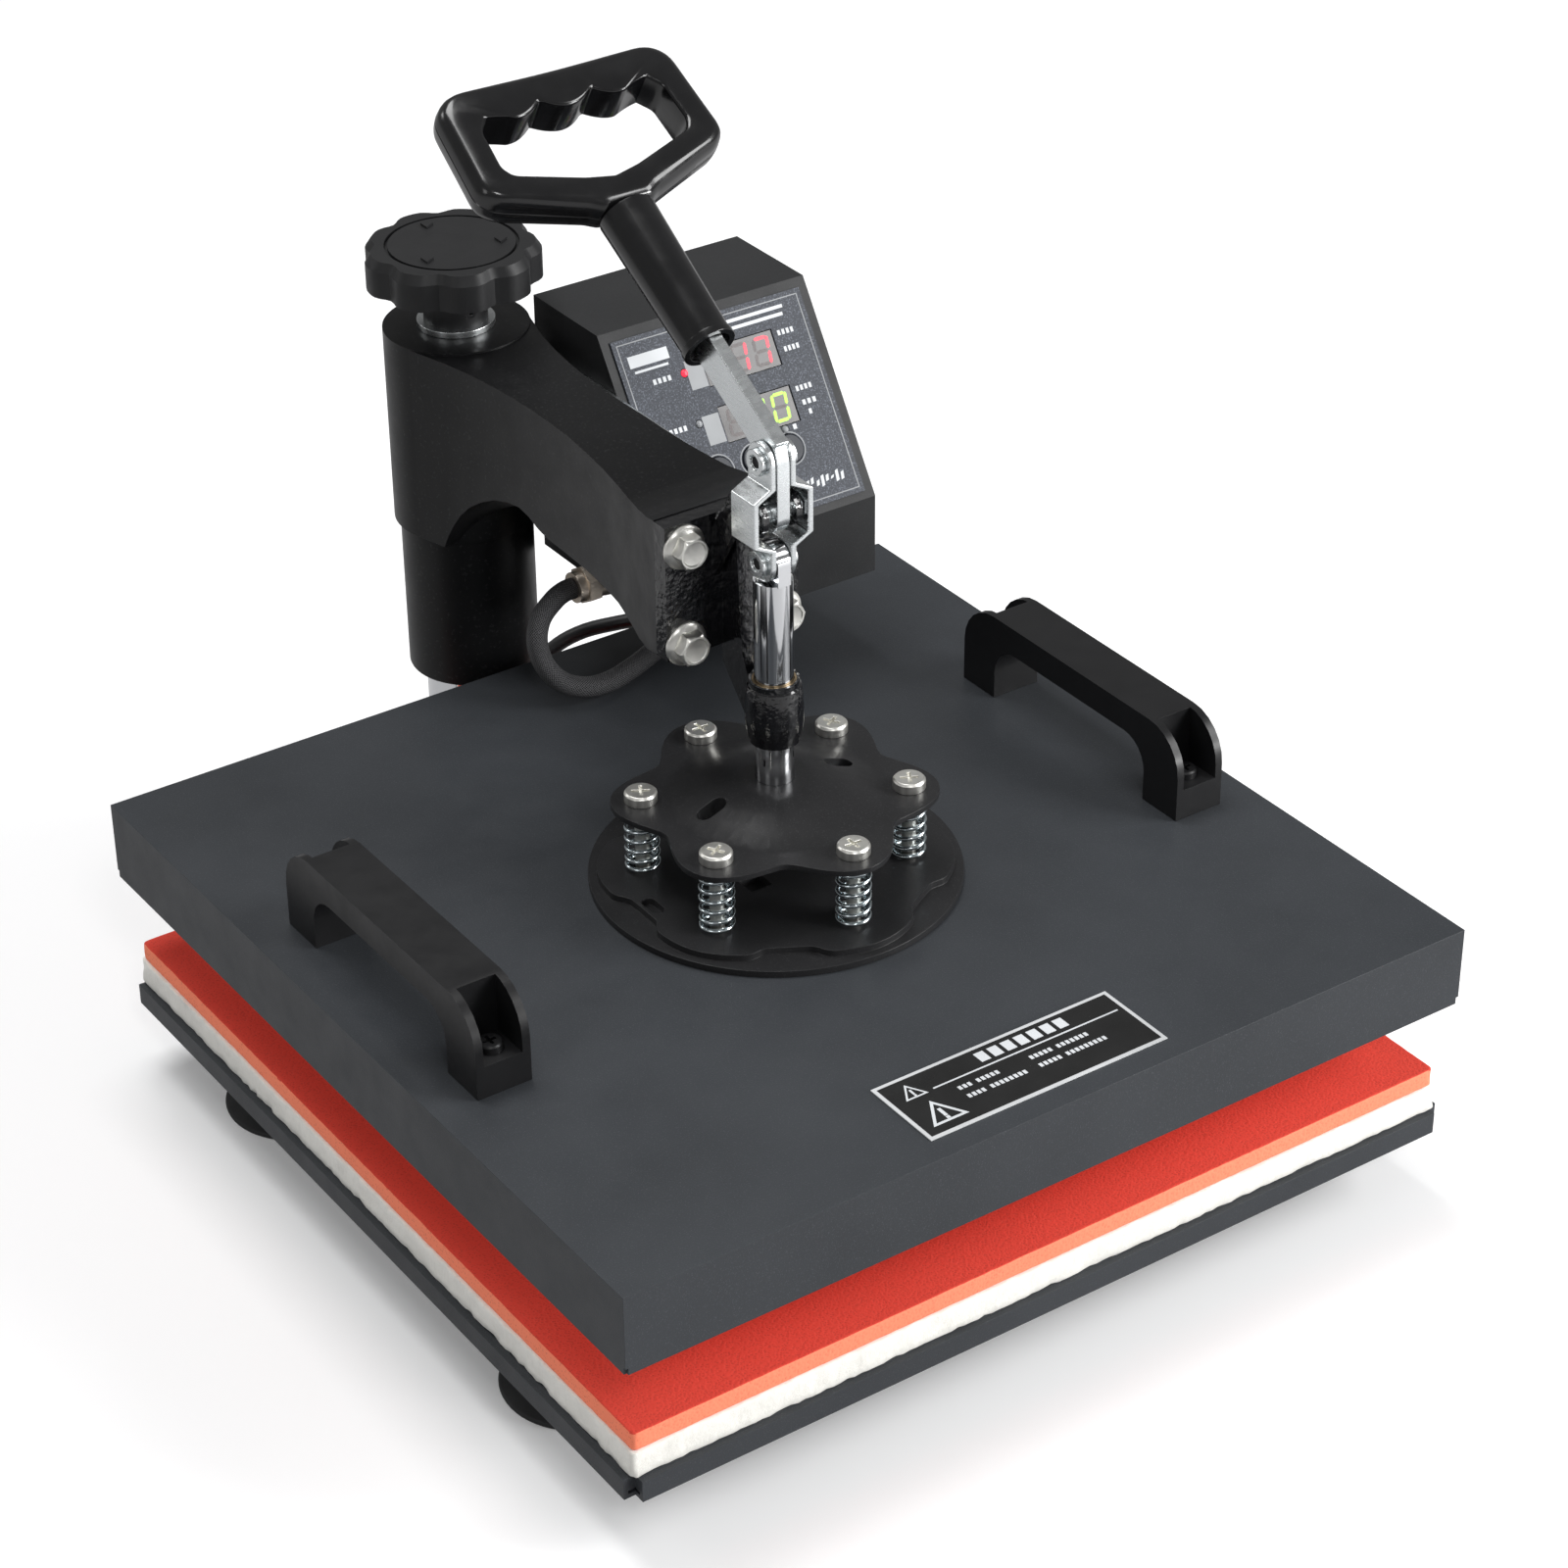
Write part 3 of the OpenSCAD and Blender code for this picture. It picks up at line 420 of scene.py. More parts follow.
RUBBER = rubber("black_rubber")
LEAD = rubber("cable_sheath", (0.010, 0.010, 0.011), 0.42)
SILICONE = sponge("red_silicone_sponge", (0.70, 0.055, 0.033), 900)
# The red pad's side faces: a lighter, more orange red than its top, partly the sliced foam's own
# colour and partly painted light where the lamps fall on the sides.
SILICONE_CUT_AND_LIT_SIDES = sponge("cut_silicone_sides_painted_light", (0.93, 0.24, 0.13), 700)
FELT = felt("white_felt", (0.88, 0.865, 0.81))
BRAID = braided("black_braid")
BOARD = fine_wood("fibre_board", (0.28, 0.2, 0.12))
MINERAL = fine_wood("mineral_board", (0.7, 0.66, 0.5))
FILM = speckled_film("speckled_panel_film")
WINDINGS = copper_and_steel("windings")
RED_LIT = glowing("red_segments", (1.0, 0.03, 0.06), 1.6)
GREEN_LIT = glowing("green_segments", (0.42, 0.95, 0.06), 1.2)
UNLIT = moulded("unlit_segments", (0.10, 0.085, 0.085), 0.3)
DULL_LAMP = moulded("unlit_lamp", (0.26, 0.27, 0.28), 0.25)


# ---- Shaping helpers ----

def add_object(name, mesh, material, body):
    """Links a new piece; without a body, it is up to the caller how the piece moves."""
    piece = bpy.data.objects.new(name, mesh)
    bpy.context.scene.collection.objects.link(piece)
    mesh.materials.append(material)
    if body:
        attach(piece, body)
    return piece


def smooth(mesh, angle=None):
    mesh.polygons.foreach_set("use_smooth", [True] * len(mesh.polygons))
    if angle is not None:
        mesh.set_sharp_from_angle(angle=math.radians(angle))


def ring_at(radius, height, sides, stretch=lambda angle: 1):
    """A level ring of points; stretch gives its radius another shape by angle."""
    angles = (2 * math.pi * k / sides for k in range(sides))
    return [(radius * stretch(a) * math.cos(a), radius * stretch(a) * math.sin(a), height)
            for a in angles]


def mesh_of(shape, name):
    """Ends a bmesh and gives its mesh."""
    mesh = bpy.data.meshes.new(name)
    shape.to_mesh(mesh)
    shape.free()
    return mesh


def take_in(shape, mesh):
    """Adds a mesh to a bmesh and deletes it."""
    shape.from_mesh(mesh)
    bpy.data.meshes.remove(mesh)


def surface_of_rings(name, rings, closed_ends=(True, True)):
    """A mesh through rings that all have the same number of points."""
    shape = bmesh.new()
    made = [[shape.verts.new(p) for p in ring] for ring in rings]
    n = len(rings[0])
    for low, high in zip(made, made[1:]):
        for i in range(n):
            k = (i + 1) % n
            shape.faces.new((low[i], low[k], high[k], high[i]))
    if closed_ends[0]:
        shape.faces.new(made[0][::-1])
    if closed_ends[1]:
        shape.faces.new(made[-1])
    bmesh.ops.recalc_face_normals(shape, faces=shape.faces)
    return mesh_of(shape, name)


def lathe(name, profile, centre, material, body, sides, angle):
    """A turned piece about a vertical axis; profile is (radius, height) in millimetres."""
    rings = []
    for r, z in profile:
        ring = [centre + Vector((math.cos(a), math.sin(a), 0)) * r * MM + Vector((0, 0, z * MM))
                for a in (2 * math.pi * i / sides for i in range(sides))]
        rings.append(ring)
    mesh = surface_of_rings(name, rings)
    smooth(mesh, angle)
    return add_object(name, mesh, material, body)


def spline_points(points, steps):
    """Points along a Catmull-Rom curve through the given ones, as part.scad's smooth() makes."""
    out = []
    last = len(points) - 1
    for i in range(last):
        a, b = points[max(i - 1, 0)], points[i]
        c, d = points[i + 1], points[min(i + 2, last)]
        for j in range(steps):
            t = j / steps
            out.append(0.5 * (2 * b + t * (c - a) + t * t * (2 * a - 5 * b + 4 * c - d)
                              + t ** 3 * (3 * b - a - 3 * c + d)))
    out.append(points[-1])
    return out


def swept(name, path, radius, sides, uv_cell=None):
    """A round rod along points in metres; uv_cell is the size of one unit of its UV map."""
    rings, side = [], None
    for i, point in enumerate(path):
        along = (path[min(i + 1, len(path) - 1)] - path[max(i - 1, 0)]).normalized()
        if side is None:
            side = along.cross(Vector((0, 0, 1)) if abs(along.z) < 0.9 else Vector((0, 1, 0)))
        side = (side - along * side.dot(along)).normalized()
        other = along.cross(side)
        rings.append([point + radius * (math.cos(a) * side + math.sin(a) * other)
                      for a in (2 * math.pi * k / sides for k in range(sides))])
    mesh = surface_of_rings(name, rings)
    smooth(mesh, 60)
    if uv_cell:
        lengths = [0.0]
        for a, b in zip(path, path[1:]):
            lengths.append(lengths[-1] + (b - a).length)
        layer = mesh.uv_layers.new(name="sleeve")
        for face in mesh.polygons:
            columns = [v % sides for v in face.vertices]
            wraps = max(columns) - min(columns) > 1
            for corner, v in zip(face.loop_indices, face.vertices):
                column = v % sides
                if wraps and column == 0:
                    column = sides
                around = column / sides * 2 * math.pi * radius
                layer.data[corner].uv = (around / uv_cell, lengths[v // sides] / uv_cell)
    return mesh


def arc(cx, cy, r, a0, a1, n):
    return [(cx + r * math.cos(math.radians(a0 + (a1 - a0) * i / n)),
             cy + r * math.sin(math.radians(a0 + (a1 - a0) * i / n))) for i in range(n + 1)]


def dress(node, material, bevel):
    """Keeps a CAD node: merges its flat triangles, rounds its edges and gives it a material."""
    piece = NODES[node]
    mesh = piece.data
    mesh.materials.clear()
    mesh.materials.append(material)
    smooth(mesh)
    weld = piece.modifiers.new("weld", "WELD")
    weld.merge_threshold = 2e-6
    flat = piece.modifiers.new("flat", "DECIMATE")
    flat.decimate_type = "DISSOLVE"
    flat.angle_limit = math.radians(0.6)
    edge = piece.modifiers.new("edges", "BEVEL")
    edge.width = bevel * MM
    edge.segments = 2
    edge.limit_method = "ANGLE"
    edge.angle_limit = math.radians(28)
    edge.use_clamp_overlap = True
    edge.harden_normals = True
    normals = piece.modifiers.new("normals", "WEIGHTED_NORMAL")
    normals.keep_sharp = False
    normals.weight = 70


# ---- Mains lead, first because its solids are checked against the view ----

LEAD_D = 7
LEAD_ROUTE = [
    (100, 205, 12), (100, 206, 4), (97, 211, -6), (89, 222, -13), (77, 234, -18),
    (65, 246, -24), (56, 256, -33), (50, 264, -45), (47.5, 270, -58), (47, 274, -72),
    (47, 275.5, -86), (47, 277.5, -99), (47, 283, -112), (47, 292, -121.5),
    (47, 300, -125.8), (47, 305, -126.4),
]
COIL_MEAN_R = 38.5
COIL_AT = (LEAD_ROUTE[-1][0] + COIL_MEAN_R + LEAD_D, LEAD_ROUTE[-1][1])
COIL_TURNS = 5.6  # all the turns
COIL_INWARD, COIL_ON_TOP = 2.6, 3.0  # where the lower layer ends, and where the upper one begins
COIL_STEPS = 24  # points in a turn


def coil_points():
    """Turns winding inward on the floor, then up and outward on top of them."""
    points = []
    for i in range(1, int(COIL_TURNS * COIL_STEPS) + 1):
        turn = i / COIL_STEPS
        angle = math.pi - 2 * math.pi * turn
        if turn <= COIL_INWARD:
            r = COIL_MEAN_R + LEAD_D - LEAD_D * 2 * turn / COIL_INWARD
            layer = 0.0
        elif turn <= COIL_ON_TOP:
            share = (turn - COIL_INWARD) / (COIL_ON_TOP - COIL_INWARD)
            r = COIL_MEAN_R - LEAD_D
            layer = share * share * (3 - 2 * share)
        else:
            out = (turn - COIL_ON_TOP) / (COIL_TURNS - COIL_ON_TOP)
            r = COIL_MEAN_R - LEAD_D + LEAD_D * 1.9 * out
            layer = 1.0
        points.append(at(COIL_AT[0] + r * math.cos(angle), COIL_AT[1] + r * math.sin(angle),
                         FLOOR_Z + LEAD_D / 2 + 0.1 + layer * (LEAD_D - 0.1)))
    return points


def make_lead():
    run = spline_points([at(*p) for p in LEAD_ROUTE], 4)
    path = run + coil_points()
    mesh = swept("power_lead", path, LEAD_D / 2 * MM, 16)
    lead = add_object("power_lead", mesh, LEAD, "arm")
    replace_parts(lead, "mains_lead", "lead_coil")
    length = sum((b - a).length for a, b in zip(path, path[1:]))
    return lead, path, length


SPRING_WIRE, SPRING_TURNS, SPRINGS = 1.0, 7, 6  # the wire's radius, turns in each, how many
SPRING_END_RISE = 0.06  # the share of the height that each end coil rises


def spring_rise(t):
    """How high the wire is after a share t of its length: slow in the end coils."""
    end = 1 / SPRING_TURNS
    if t < end:
        return SPRING_END_RISE * (t * SPRING_TURNS) ** 2
    if t > 1 - end:
        return 1 - SPRING_END_RISE * ((1 - t) * SPRING_TURNS) ** 2
    return SPRING_END_RISE + (1 - 2 * SPRING_END_RISE) * (t - end) / (1 - 2 * end)


def make_springs():
    """Six round wire springs between the dome plate and the pressure plates."""
    low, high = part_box("float_springs")
    outer = (high.x - low.x) / 2 / MM - FLOAT_R * math.cos(math.radians(30))
    helix = outer - SPRING_WIRE
    z0, z1 = low.z + SPRING_WIRE * MM, high.z - SPRING_WIRE * MM
    centre = at(0, HEAD_Y, 0)
    steps = SPRING_TURNS * 36
    shape = bmesh.new()
    for place in range(SPRINGS):
        angle = math.radians(30 + 60 * place)
        middle = centre + Vector((math.cos(angle), math.sin(angle), 0)) * FLOAT_R * MM
        path = []
        for i in range(steps + 1):
            t = i / steps
            around = 2 * math.pi * SPRING_TURNS * t
            path.append(Vector((middle.x + helix * MM * math.cos(around),
                                middle.y + helix * MM * math.sin(around),
                                z0 + (z1 - z0) * spring_rise(t))))
        take_in(shape, swept("one_spring", path, SPRING_WIRE * MM, 10))
    mesh = mesh_of(shape, "springs")
    smooth(mesh)
    springs = add_object("springs", mesh, SPRING_ZINC, "platen")
    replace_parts(springs, "float_springs")
    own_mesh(springs)


HOSE_D = 9.4
BRAID_CELL = 0.0016
HOSE_ROUTE = [
    (15, 172, 48), (10, 172, 47.6), (4, 171, 45.6), (-4, 169, 40), (-8, 166, 31), (-7, 162, 21),
    (-1, 158, 12.5), (9, 155, 8), (22, 156, 6), (38, 161, 5.8), (54, 168, 5.8), (66, 172.8, 5.8),
    (73.3, 174, 5.8),
]


def make_hose():
    path = spline_points([at(*p) for p in HOSE_ROUTE], 9)
    mesh = swept("hose", path, HOSE_D / 2 * MM, 32, uv_cell=BRAID_CELL)
    hose = add_object("hose", mesh, BRAID, None)
    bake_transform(hose)
    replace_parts(hose, "heater_hose")


def slab_outline(half_x, half_y, corner_r, columns):
    """A rounded rectangle about the origin, with many points along its sides."""
    corners = ((1, -1), (1, 1), (-1, 1), (-1, -1))
    outline = []
    for k, (sx, sy) in enumerate(corners):
        start = -90 + 90 * k
        for i in range(5):
            a = math.radians(start + 22.5 * i)
            outline.append((sx * (half_x - corner_r) + corner_r * math.cos(a),
                            sy * (half_y - corner_r) + corner_r * math.sin(a)))
        next_x, next_y = corners[(k + 1) % 4]
        a = math.radians(start + 90)
        end = (next_x * (half_x - corner_r) + corner_r * math.cos(a),
               next_y * (half_y - corner_r) + corner_r * math.sin(a))
        first = outline[-1]
        for i in range(1, columns):
            share = i / columns
            outline.append((first[0] + (end[0] - first[0]) * share,
                            first[1] + (end[1] - first[1]) * share))
    return outline


SLAB_CORNER_R, SLAB_COLUMNS = 2.2, 120  # columns: the points along each side


def soft_slab(name, node, bevel, rough, material, seed, lit_cut_sides=None):
    """A sliced sheet whose edge faces are a little uneven and whose corners are soft; an optional
    second material goes on its side faces.
    """
    low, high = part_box(node)
    size = high - low
    middle = (low + high) / 2
    half_x, half_y = size.x / 2, size.y / 2
    t, b = size.z, bevel * MM
    levels = [(-b * 2.5, 0), (-b, 0), (-b * 0.3, b * 0.28), (0, b), (0, t * 0.35), (0, t * 0.65),
              (0, t - b), (-b * 0.3, t - b * 0.28), (-b, t), (-b * 2.5, t)]
    outline = slab_outline(half_x, half_y, SLAB_CORNER_R * MM, SLAB_COLUMNS)
    rings = []
    for inset, z in levels:
        ring = []
        for x, y in outline:
            k = 1 + inset / half_x
            p = Vector((middle.x + x * k, middle.y + y * k, low.z + z))
            if inset > -b * 1.5:
                broad = noise.noise(p * 55 + Vector((seed, 0, 0)))
                fine = noise.noise(Vector((p.x * 380, p.y * 380, p.z * 500 + seed)))
                wave = min(0.0, 0.35 * broad + fine - 0.25) * rough * MM
                p.x += wave * x / half_x
                p.y += wave * y / half_y
            ring.append(p)
        rings.append(ring)
    mesh = surface_of_rings(name, rings)
    smooth(mesh, 60)
    slab = add_object(name, mesh, material, "base")
    # The side faces get the second material; for the red pad it is a lighter red, partly the sliced
    # foam's own colour and partly painted light on the sides.
    if lit_cut_sides:
        mesh.materials.append(lit_cut_sides)
        for face in mesh.polygons:
            face.material_index = int(abs(face.normal.z) < 0.5)
    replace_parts(slab, node)


# ---- Printed marks, displays and lamps ----

SEGMENTS = {"0": "abcdef", "1": "bc", "7": "abc"}


def flat_piece(name, outlines, z, thickness, origin, tilt, material, body):
    """Thin flat islands on a face, from outlines in millimetres in that face's own frame."""
    shape = bmesh.new()
    for outline in outlines:
        bottom = [shape.verts.new((x, y, z)) for x, y in outline]
        top = [shape.verts.new((x, y, z + thickness)) for x, y in outline]
        n = len(outline)
        shape.faces.new(top)
        shape.faces.new(bottom[::-1])
        for i in range(n):
            k = (i + 1) % n
            shape.faces.new((bottom[i], bottom[k], top[k], top[i]))
    bmesh.ops.recalc_face_normals(shape, faces=shape.faces)
    mesh = mesh_of(shape, name)
    mesh.transform(frame_at(origin, tilt))
    return add_object(name, mesh, material, body)


def rectangle(x, y, w, h):
    left, right, low, high = x - w / 2, x + w / 2, y - h / 2, y + h / 2
    return [(left, low), (right, low), (right, high), (left, high)]


def ring_pieces(x, y, r0, r1, sides=40):
    """A ring as separate quads, each its own outline."""
    out = []
    for i in range(sides):
        a, b = 2 * math.pi * i / sides, 2 * math.pi * (i + 1) / sides
        out.append([(x + r * math.cos(c), y + r * math.sin(c))
                    for r, c in ((r0, a), (r1, a), (r1, b), (r0, b))])
    return out


def frame_lines(x0, y0, x1, y1, w):
    """A rectangular border w wide."""
    x, y, wide, tall = (x0 + x1) / 2, (y0 + y1) / 2, x1 - x0 + w, y1 - y0 - w
    return [rectangle(x, y0, wide, w), rectangle(x, y1, wide, w),
            rectangle(x0, y, w, tall), rectangle(x1, y, w, tall)]


def segment_shapes(x, y, w, h, which, lean=0.12, t=1.5):
    """Outlines of a seven-segment digit's bars, leaning a little to the right."""
    def skew(points):
        return [(px + (py - y) * lean, py) for px, py in points]

    def across(cy):
        start, stop = x - w / 2 + t * 0.75, x + w / 2 - t * 0.75
        return [(start, cy), (start + t / 2, cy - t / 2), (stop - t / 2, cy - t / 2), (stop, cy),
                (stop - t / 2, cy + t / 2), (start + t / 2, cy + t / 2)]

    def upright(cx, low, high):
        low, high = low + t * 0.3, high - t * 0.3
        return [(cx, low), (cx + t / 2, low + t / 2), (cx + t / 2, high - t / 2), (cx, high),
                (cx - t / 2, high - t / 2), (cx - t / 2, low + t / 2)]

    left, right = x - w / 2 + t / 2, x + w / 2 - t / 2
    bars = {
        "a": across(y + h / 2 - t / 2), "g": across(y), "d": across(y - h / 2 + t / 2),
        "b": upright(right, y, y + h / 2), "c": upright(right, y - h / 2, y),
        "f": upright(left, y, y + h / 2), "e": upright(left, y - h / 2, y),
    }
    return [skew(bars[k]) for k in which]


PANEL_LOW, PANEL_HIGH = (124, 75), (179, 160.5)  # the sloping face's ends, as (y, z)
PANEL_TILT = math.degrees(math.atan2(PANEL_HIGH[1] - PANEL_LOW[1], PANEL_HIGH[0] - PANEL_LOW[0]))
PANEL_AT = at(89.5, PANEL_LOW[0], PANEL_LOW[1])
BUTTON_X, BUTTON_Y = (-36, -17.5, 1, 19.5), 31
PANEL_FACE, GLASS_FACE = 0.8, 0.2  # heights of the film and of the display windows
INK, THICK_INK, LIT_BAR = 0.04, 0.05, 0.08
DISPLAY_X, DIGIT_STEP, DIGIT_W, DIGIT_H = 10, 11.6, 8.4, 13
WORD_MARKS = (  # x, y and width of the rows of bars
    (-30.5, 75.7, 10), (35.5, 80.5, 9), (36, 73, 8.5), (35.5, 55, 9), (36, 48.5, 8),
    (35, 44, 2.5), (-32, 53, 12), (25, 39.6, 3),
)
LAMPS = (("out_lamp", -19, 75.7, RED_LIT), ("work_lamp", -20, 53, DULL_LAMP),
         ("unit_lamp", 20, 39.6, DULL_LAMP))
LAMP_PROFILE = ((1.62, 0.5), (1.62, 0.9), (1.3, 1.35), (0.7, 1.6))


def on_panel(name, outlines, z, thickness, material):
    return flat_piece(name, outlines, z, thickness, PANEL_AT, PANEL_TILT, material, "arm")


def panel_words():
    """Blank rectangles and rows of bars where a real panel carries its maker's words."""
    words = [rectangle(-33.5, 86.5, 20, 5.2), rectangle(-33.5, 81.8, 17, 1.1),
             rectangle(12, 91.5, 52, 1.5), rectangle(14, 88.2, 46, 1.5)]
    for x, y, w in WORD_MARKS:
        n = max(1, round(w / 2.3))
        words += [rectangle(x - w / 2 + (i + 0.5) * w / n, y, w / n * 0.62, 2.3)
                  for i in range(n)]
    return words


def script_stroke(i):
    """One slanting stroke of the row that stands for handwriting."""
    x, low, high = i * 2.6, 1.2 * math.sin(i * 1.7), math.sin(i * 2.3)
    return [(21 + x, 12 + low), (22.6 + x, 12.4 + low),
            (23.2 + x, 15.5 + high), (21.6 + x, 15.0 + high)]


def make_panel_print():
    on_panel("panel_border", frame_lines(-46.6, 6, 46.6, 94.8, 0.45), PANEL_FACE, INK, PRINT_GREY)
    on_panel("printed_marks", panel_words(), PANEL_FACE, INK, PRINT)
    on_panel("blank_windows", [rectangle(-13.6, 74, 8.5, 13), rectangle(-13.8, 49, 8.5, 13)],
             PANEL_FACE, THICK_INK, PRINT_GREY)
    on_panel("script_mark", [script_stroke(i) for i in range(8)], PANEL_FACE, INK, PRINT)
    rings = [q for x in BUTTON_X for q in ring_pieces(x, BUTTON_Y, 7.0, 7.5)]
    on_panel("button_rings", rings, PANEL_FACE, THICK_INK, PRINT_GREY)
    red, green, unlit = [], [], []
    for y, shown, lit in ((75, " 17", red), (49.5, " 00", green)):
        for i, digit in enumerate(shown):
            x = DISPLAY_X + (i - 1) * DIGIT_STEP
            on = SEGMENTS.get(digit, "")
            off = [k for k in "abcdefg" if k not in on]
            lit.extend(segment_shapes(x, y, DIGIT_W, DIGIT_H, on))
            unlit.extend(segment_shapes(x, y, DIGIT_W, DIGIT_H, off))
    on_panel("red_digits", red, GLASS_FACE, LIT_BAR, RED_LIT)
    on_panel("green_digits", green, GLASS_FACE, LIT_BAR, GREEN_LIT)
    on_panel("unlit_digits", unlit, GLASS_FACE, THICK_INK, UNLIT)
    for name, x, y, material in LAMPS:
        mesh = surface_of_rings(name, [ring_at(r, z, 24) for r, z in LAMP_PROFILE])
        smooth(mesh, 50)
        mesh.transform(frame_at(PANEL_AT, PANEL_TILT) @ Matrix.Translation((x, y, 0)))
        add_object(name, mesh, material, "arm")


def make_label():
    low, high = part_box("label_plate")
    middle = (low + high) / 2
    middle.z = high.z
    w, h = (high.x - low.x) / MM, (high.y - low.y) / MM

    def part(name, outlines, z, thickness, material):
        return flat_piece(name, outlines, z, thickness, middle, 0, material, "platen")

    part("label_field", [rectangle(0, 0, w - 3.4, h - 3.4)], 0, THICK_INK, LABEL_BLACK)
    part("label_rule", [rectangle(8, 6.4, w - 24, 0.8)], THICK_INK, INK, PRINT)
    heads = [rectangle(-9 + i * 6.3, 12.2, 4.4, 6.0) for i in range(7)]
    lines = []
    for x, y, words in ((-28, 0.8, (3, 5)), (6, 0.8, (5, 7)), (-28, -5.2, (4, 8)),
                        (6, -5.2, (5, 9))):
        for n in words:
            for _ in range(n):
                lines.append(rectangle(x, y, 1.5, 2.3))
                x += 2.2
            x += 2.0
    part("label_heading", heads, THICK_INK, INK, PRINT)
    part("label_lines", lines, THICK_INK, INK, PRINT)
    signs = []
    for x, y, r in ((-44.5, 8.4, 6.0), (-42.5, -8.6, 9.5)):
        for k in range(3):
            a, b = math.radians(90 + 120 * k), math.radians(210 + 120 * k)
            outer = [(x + r * math.cos(c), y + r * math.sin(c)) for c in (a, b)]
            inner = [(x + r * 0.74 * math.cos(c), y + r * 0.74 * math.sin(c)) for c in (b, a)]
            signs.append(outer + inner)
        signs.append(rectangle(x, y + 0.12 * r, 0.16 * r, 0.55 * r))
        signs.append(rectangle(x, y - 0.27 * r, 0.17 * r, 0.16 * r))
    part("warning_signs", signs, THICK_INK, INK, PRINT)


BOOT_RIBS = 7
BOOT_GROMMET = 8  # the length of the part that sits in the box's wall


def make_relief():
    """A tapered boot with ribs round the lead where it leaves the box."""
    low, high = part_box("strain_relief")
    centre = Vector(((low.x + high.x) / 2, (low.y + high.y) / 2, low.z))
    taper = (high.z - low.z) / MM - BOOT_GROMMET
    profile = [(3.55, 0.0), (4.1, 0.15)]
    for i in range(BOOT_RIBS):
        step = (taper - 1.2) / BOOT_RIBS
        z = 0.6 + (taper - 1.2) * i / BOOT_RIBS
        r = 4.2 + 2.2 * z / taper
        profile += [(r, z), (r, z + step * 0.5), (r - 0.7, z + step * 0.58),
                    (r - 0.65, z + step * 0.92)]
    profile += [(6.4, taper - 0.4), (7.7, taper), (8.0, taper + 0.4), (8.0, taper + 2.7),
                (7.6, taper + 3.0), (5.1, taper + 3.0), (5.1, taper + BOOT_GROMMET)]
    boot = lathe("lead_boot", profile, centre, RUBBER, "arm", 48, 35)
    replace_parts(boot, "strain_relief")


SCREW_R, SCREW_H = 3.4, 2.0


def cross_recess(angle):
    """The outline of a cross: long near four directions, short between them."""
    near = abs(((angle + math.pi / 4) % (math.pi / 2)) - math.pi / 4)
    return 0.58 if near < 0.3 else 0.22


def screw_head(name, centre):
    """A pan head with a cross recess pressed into it."""
    r, h, sides = SCREW_R, SCREW_H, 40
    rings = [ring_at(radius, z, sides) for radius, z in (
        (r, 0), (r, h * 0.62), (r * 0.93, h * 0.86), (r * 0.78, h), (r * 0.6, h))]
    rings.append(ring_at(r, h, sides, cross_recess))
    rings.append(ring_at(r, h * 0.5, sides, lambda a: cross_recess(a) * 0.65))
    mesh = surface_of_rings(name, rings)
    smooth(mesh, 32)
    mesh.transform(frame_at(centre))
    add_object(name, mesh, BASE_PAINT, "platen")


def make_handle_screws():
    low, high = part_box("side_handles")
    y_mid = (low.y + high.y) / 2
    half = (high.y - low.y) / 2
    for i, x in enumerate((low.x + 12 * MM, high.x - 12 * MM)):
        for j, end in enumerate((-1, 1)):
            place = Vector((x, y_mid + end * (half - 11 * MM), low.z + HANDLE_FOOT * MM))
            screw_head("handle_screw_%d%d" % (i, j), place)


FLANGE_R, BOLT_HEAD_H = 9.5, 8.1
BOLT_PROFILE = (  # radius, height and how far the ring is a hexagon
    (4, -20, 0), (4, 0, 0), (9.5, 0, 0), (9.5, 0.8, 0), (9.2, 1.3, 0), (8.0, 2.1, 0),
    (6.35, 2.6, 1), (6.35, 7.0, 1), (6.35, 7.6, 0.45), (6.1, 8.1, 0), (5.3, 8.1, 0),
    (4.9, 7.6, 0), (2.2, 7.3, 0), (0.3, 7.3, 0),
)


def hexagon(share):
    """The stretch that turns a circle into a hexagon, wholly or in part."""
    return lambda a: 1 + share * (1 / math.cos((a % (math.pi / 3)) - math.pi / 6) - 1)


def make_flange_bolts():
    """Four bolts: a dished hexagon on a domed flange, shank in the arm."""
    low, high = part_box("bracket_bolts")
    shape = bmesh.new()
    for x in (low.x + FLANGE_R * MM, high.x - FLANGE_R * MM):
        for z in (low.z + FLANGE_R * MM, high.z - FLANGE_R * MM):
            rings = [ring_at(r, h, 72, hexagon(share)) for r, h, share in BOLT_PROFILE]
            mesh = surface_of_rings("one_bolt", rings)
            mesh.transform(turned_at((x, low.y + BOLT_HEAD_H * MM, z), math.pi / 2, "X"))
            take_in(shape, mesh)
    mesh = mesh_of(shape, "flange_bolts")
    smooth(mesh, 30)
    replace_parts(add_object("flange_bolts", mesh, BOLT_ZINC, "arm"), "bracket_bolts")


# Black discs in the rivets' hollow ends: painted shade.
RIVET_R, SHADE_DISC_INSET = 5.6, 1.4
SHADE_DISC_PROFILE = ((2.4, -0.5), (2.4, 0.5), (2.0, 0.15), (0.2, 0.1))


